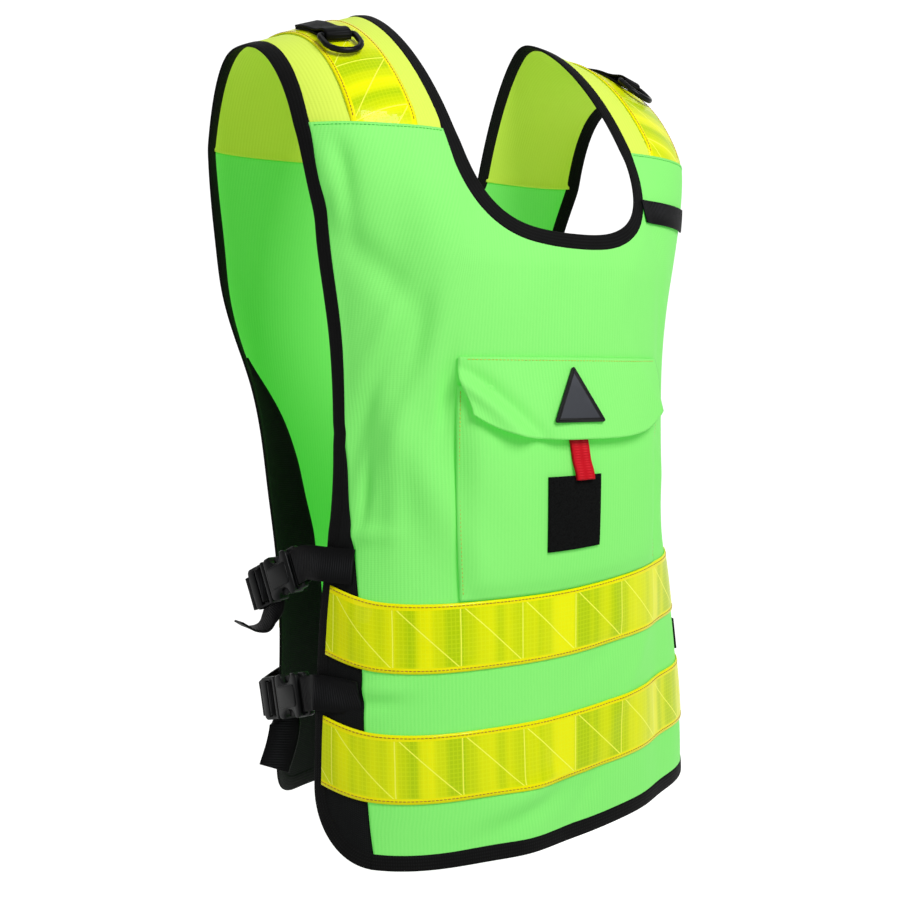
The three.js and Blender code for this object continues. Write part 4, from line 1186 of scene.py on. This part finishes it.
SOCKET = [
    (windowed_outline(9, 38, BUCKLE_HALF, 4, 23, 7), -BUCKLE_THICKNESS / 2, BUCKLE_THICKNESS / 2, 1.4),
    slotted(0, 12, 3, (3.6, 8.2)),
    (rounded_outline(12.5, 34.5, 8.5, 3), 4.8, 6.1, 0.5),
]
PLUG = [
    slotted(38.6, 51, 2, (42.6, 47.2)),
    slotted(47.2, 63, 4, (50.8, 55.4)),
    (rounded_outline(38.6, 42.6, BUCKLE_HALF - 0.5, 1.5), -5, 5, 1.0),
    (box_outline(18.5, 27.5, 8, 15.2), -2.4, 2.4, 0.8),
    (box_outline(18.5, 27.5, -15.2, -8), -2.4, 2.4, 0.8),
]
print("slabs in a buckle:", len(SOCKET) + len(PLUG))

# %% [markdown]
# ## Side closures
# Each closure has a front strap sewn to the black side panel and looped round the socket's bar, and a back
# strap laced through the plug's ladder, whose loose tail hangs down. The wearer's left is the mirror image
# of the right, a little higher because the front hangs higher there.

# %% Straps and buckles in place
LEFT_RISE = 12
CLOSURES = {
    "upper": dict(
        height=-410, anchor=-440, socket=(167, -46, -413), outwards=11, droop=24, tail_depth=8.2,
        tail=[(168, 3, -458), (172, 6, -467), (181, 9, -468), (191, 12, -462)], tail_across=(-0.1, 1, 0),
    ),
    "lower": dict(
        height=-503, anchor=-521, socket=(171, -64, -507), outwards=5, droop=14, tail_depth=8.8,
        tail=[(168, -20, -540), (172, -22, -554), (180, -24, -572)], tail_across=(0.55, 0.85, 0),
    ),
}
ROUND_BAR = [
    (-8, 4.6), (-1, 4.1), (3.2, 4), (5.6, 2.4), (5.9, 0), (5.6, -2.4), (3.2, -4), (-1, -4.1), (-6, -4.1),
]
THROUGH_LADDER = [
    (74, -4.4), (63, -4.1), (57.5, -4.1), (54.7, -2.7), (53.1, 0), (52, 2.7), (49, 4.1),
    (46, 2.7), (44.9, 0), (45.2, -3), (47.5, -5.2), (50, -5.9),
]
TAIL_START = [(49, 6), (53, -12)]


def buckle_axes(outwards, droop, hand):
    turn, dip = math.radians(outwards), math.radians(droop)
    back = Vector((hand * math.sin(turn) * math.cos(dip), math.cos(turn) * math.cos(dip), -math.sin(dip)))
    out = back.cross(Vector((0, 0, 1))).normalized() * hand
    return back, out.cross(back) * hand, out


def mirrored(points, hand):
    return np.array(points, float) * (hand, 1, 1)


for side, hand in SIDES.items():
    rise = LEFT_RISE if hand > 0 else 0
    lift_up = np.array((0, 0, rise), float)
    for level, closure in CLOSURES.items():
        back, up, out = buckle_axes(closure["outwards"], closure["droop"], hand)
        place = Matrix((back, up, out)).transposed().to_4x4()
        place.translation = mirrored(closure["socket"], hand) + lift_up
        ending = f"{level}_{side}"
        for half, slabs in (("socket", SOCKET), ("plug", PLUG)):
            node = f"buckle_{half}_{ending}"
            dress(buckle_mesh(f"{node}_moulding", slabs, place), black_acetal, [node])

        def in_frame(route):
            return np.array([place @ Vector((x, 0, z)) for x, z in route])

        def on_side(face, spots, height):
            """Stations on the cloth, each given by its angle in degrees and its lift."""
            angle, lift = np.array(spots).T
            angle = hand * np.radians(angle)
            points, above = (lifted(face, angle, np.full_like(angle, height + step), lift) for step in (0, 1))
            return points, unit(above - points)

        def strap(node, side_route, frame_route):
            points = np.concatenate([side_route[0], in_frame(frame_route)])
            across = np.concatenate([side_route[1], np.tile(up, (len(frame_route), 1))])
            ribbon(node, points, across)

        height = closure["height"] + rise
        edge, seam = np.degrees([side_edge("front", height), panel_edge("front", height)])
        spots = [(seam + 1, 3.4), (edge - 1.5, 4.4), (edge + 2, 6.8)]
        strap(f"front_strap_{ending}", on_side("front", spots, height), ROUND_BAR)

        edge = np.degrees(side_edge("back", closure["anchor"]))
        spots = [(edge - 13, 5.4), (edge - 4, 5.9)]
        strap(f"back_strap_{ending}", on_side("back", spots, closure["anchor"]), THROUGH_LADDER)

        start = [place @ Vector((x, y, -closure["tail_depth"])) for x, y in TAIL_START]
        points = np.concatenate([start, mirrored(closure["tail"], hand) + lift_up])
        hanging = mirrored([closure["tail_across"]] * len(closure["tail"]), hand)
        ribbon(f"strap_tail_{ending}", points, np.concatenate([[back, back], hanging]))

# %% [markdown]
# ## Stitching
# The tapes are sewn down with orange thread, the pocket with yellow and the yokes' seams with green. A stitch
# is a small sunk grain of thread, so each is an ellipsoid laid along its row. Rows that belong together are
# joined into one piece.


# %% Thread
def thread_material(name, colour, dark):
    material, tree, shader = new_material(name, colour, Roughness=0.6)
    twist_and_groove_shade = stripes(tree, coordinates(tree)["Object"], 0.8, "DIAGONAL")
    # Painted shade: the grooves of the twist take the dark colour, the plies' tops the thread's colour
    wire(tree, shader, Base_Color=blend(tree, twist_and_groove_shade, dark, colour), Normal=bumps(tree, twist_and_groove_shade, 0.5, 0.2))
    return material


orange_thread = thread_material("orange_polyester_thread", "#b87c0c", "#8a5606")
yellow_thread = thread_material("yellow_polyester_thread", "#c2cf3a", "#93a82c")
green_thread = thread_material("green_polyester_thread", "#3fcf3c", "#239a2b")


def add_stitches(bm, points, normals, spacing=3.0, length=2.8, width=0.75):
    points, normals = even_path(points, normals, spacing)
    for here, after, normal in zip(points, points[1:], normals):
        along = unit(after - here)
        side = np.cross(normal, along)
        axes = np.stack([along * length, side * width, normal * width * 0.7]) * MM
        stitch = Matrix(axes.T.tolist()).to_4x4()
        stitch.translation = Vector((here + after) / 2) * MM
        bmesh.ops.create_uvsphere(bm, u_segments=6, v_segments=4, radius=0.5, matrix=stitch)


def stitched(name, rows, thread):
    mesh = bpy.data.meshes.new(name)
    for points, normals in rows:
        bm = bmesh.new()
        add_stitches(bm, points, normals)
        bm.from_mesh(mesh)
        bm.to_mesh(mesh)
        bm.free()
    dress(mesh, thread)


def surface_row(place, u, v, away):
    """A row of points on a piece's own surface, raised along its normal."""
    normals = outward(place, u, v)
    return place(u, v) + normals * away, normals


# %% Rows of stitches
STITCH_LIFT, STITCH_INSET = 0.1, 2.2
# Rows as shares of their piece: in from the shoulder tape's edges, in from the pocket's sides, up the flap
SHOULDER_INSET, POCKET_INSET, FLAP_ROW = 0.046, 0.012, 0.96
along = np.linspace(0.004, 0.996, 240)
for face in FACES:
    rows = []
    for foot in TAPE_FEET.values():
        for inset in (STITCH_INSET, TAPE_WIDTH - STITCH_INSET):
            height = np.full_like(along, foot + inset)
            angle = whole_angle(face, mix(-ACROSS, ACROSS, along), height)
            rows.append(cloth_stations(face, angle, height, ON_CLOTH + TAPE + STITCH_LIFT))
    stitched(f"{face}_tape_stitches", rows, orange_thread)

short = np.linspace(0.01, 0.99, 80)
ones = np.ones_like(short)
rows, seam_rows = [], []
for hand in SIDES.values():
    for across in (SHOULDER_INSET, 1 - SHOULDER_INSET):
        away = -hand * (TAPE / 2 + STITCH_LIFT)
        rows.append(surface_row(shoulder_place, mix(0.012, 0.988, short), across * ones, away))
    for face in FACES:
        k = hand * mix(NECK_COLUMNS + 0.08, PANEL_COLUMNS - 0.08, short)
        angle, height = panel_spot(face, k, np.full_like(k, PANEL_TOP - 2))
        seam_rows.append(cloth_stations(face, angle, height, CLOTH + STITCH_LIFT))
stitched("shoulder_tape_stitches", rows, orange_thread)
stitched("yoke_seam_stitches", seam_rows, green_thread)

most = mix(0.02, 0.98, short)
rows = [surface_row(pocket_place, u * ones, most, CLOTH / 2) for u in (POCKET_INSET, 1 - POCKET_INSET)]
rows.append(surface_row(flap_place, most, FLAP_ROW * ones, CLOTH / 2))
stitched("pocket_stitches", rows, yellow_thread)

# %% [markdown]
# ## Cut pieces
# The loops below go over the cut pieces and leave them as they are.

# %% Sheets
for face in FACES:
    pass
for side in SIDES:
    for face in FACES:
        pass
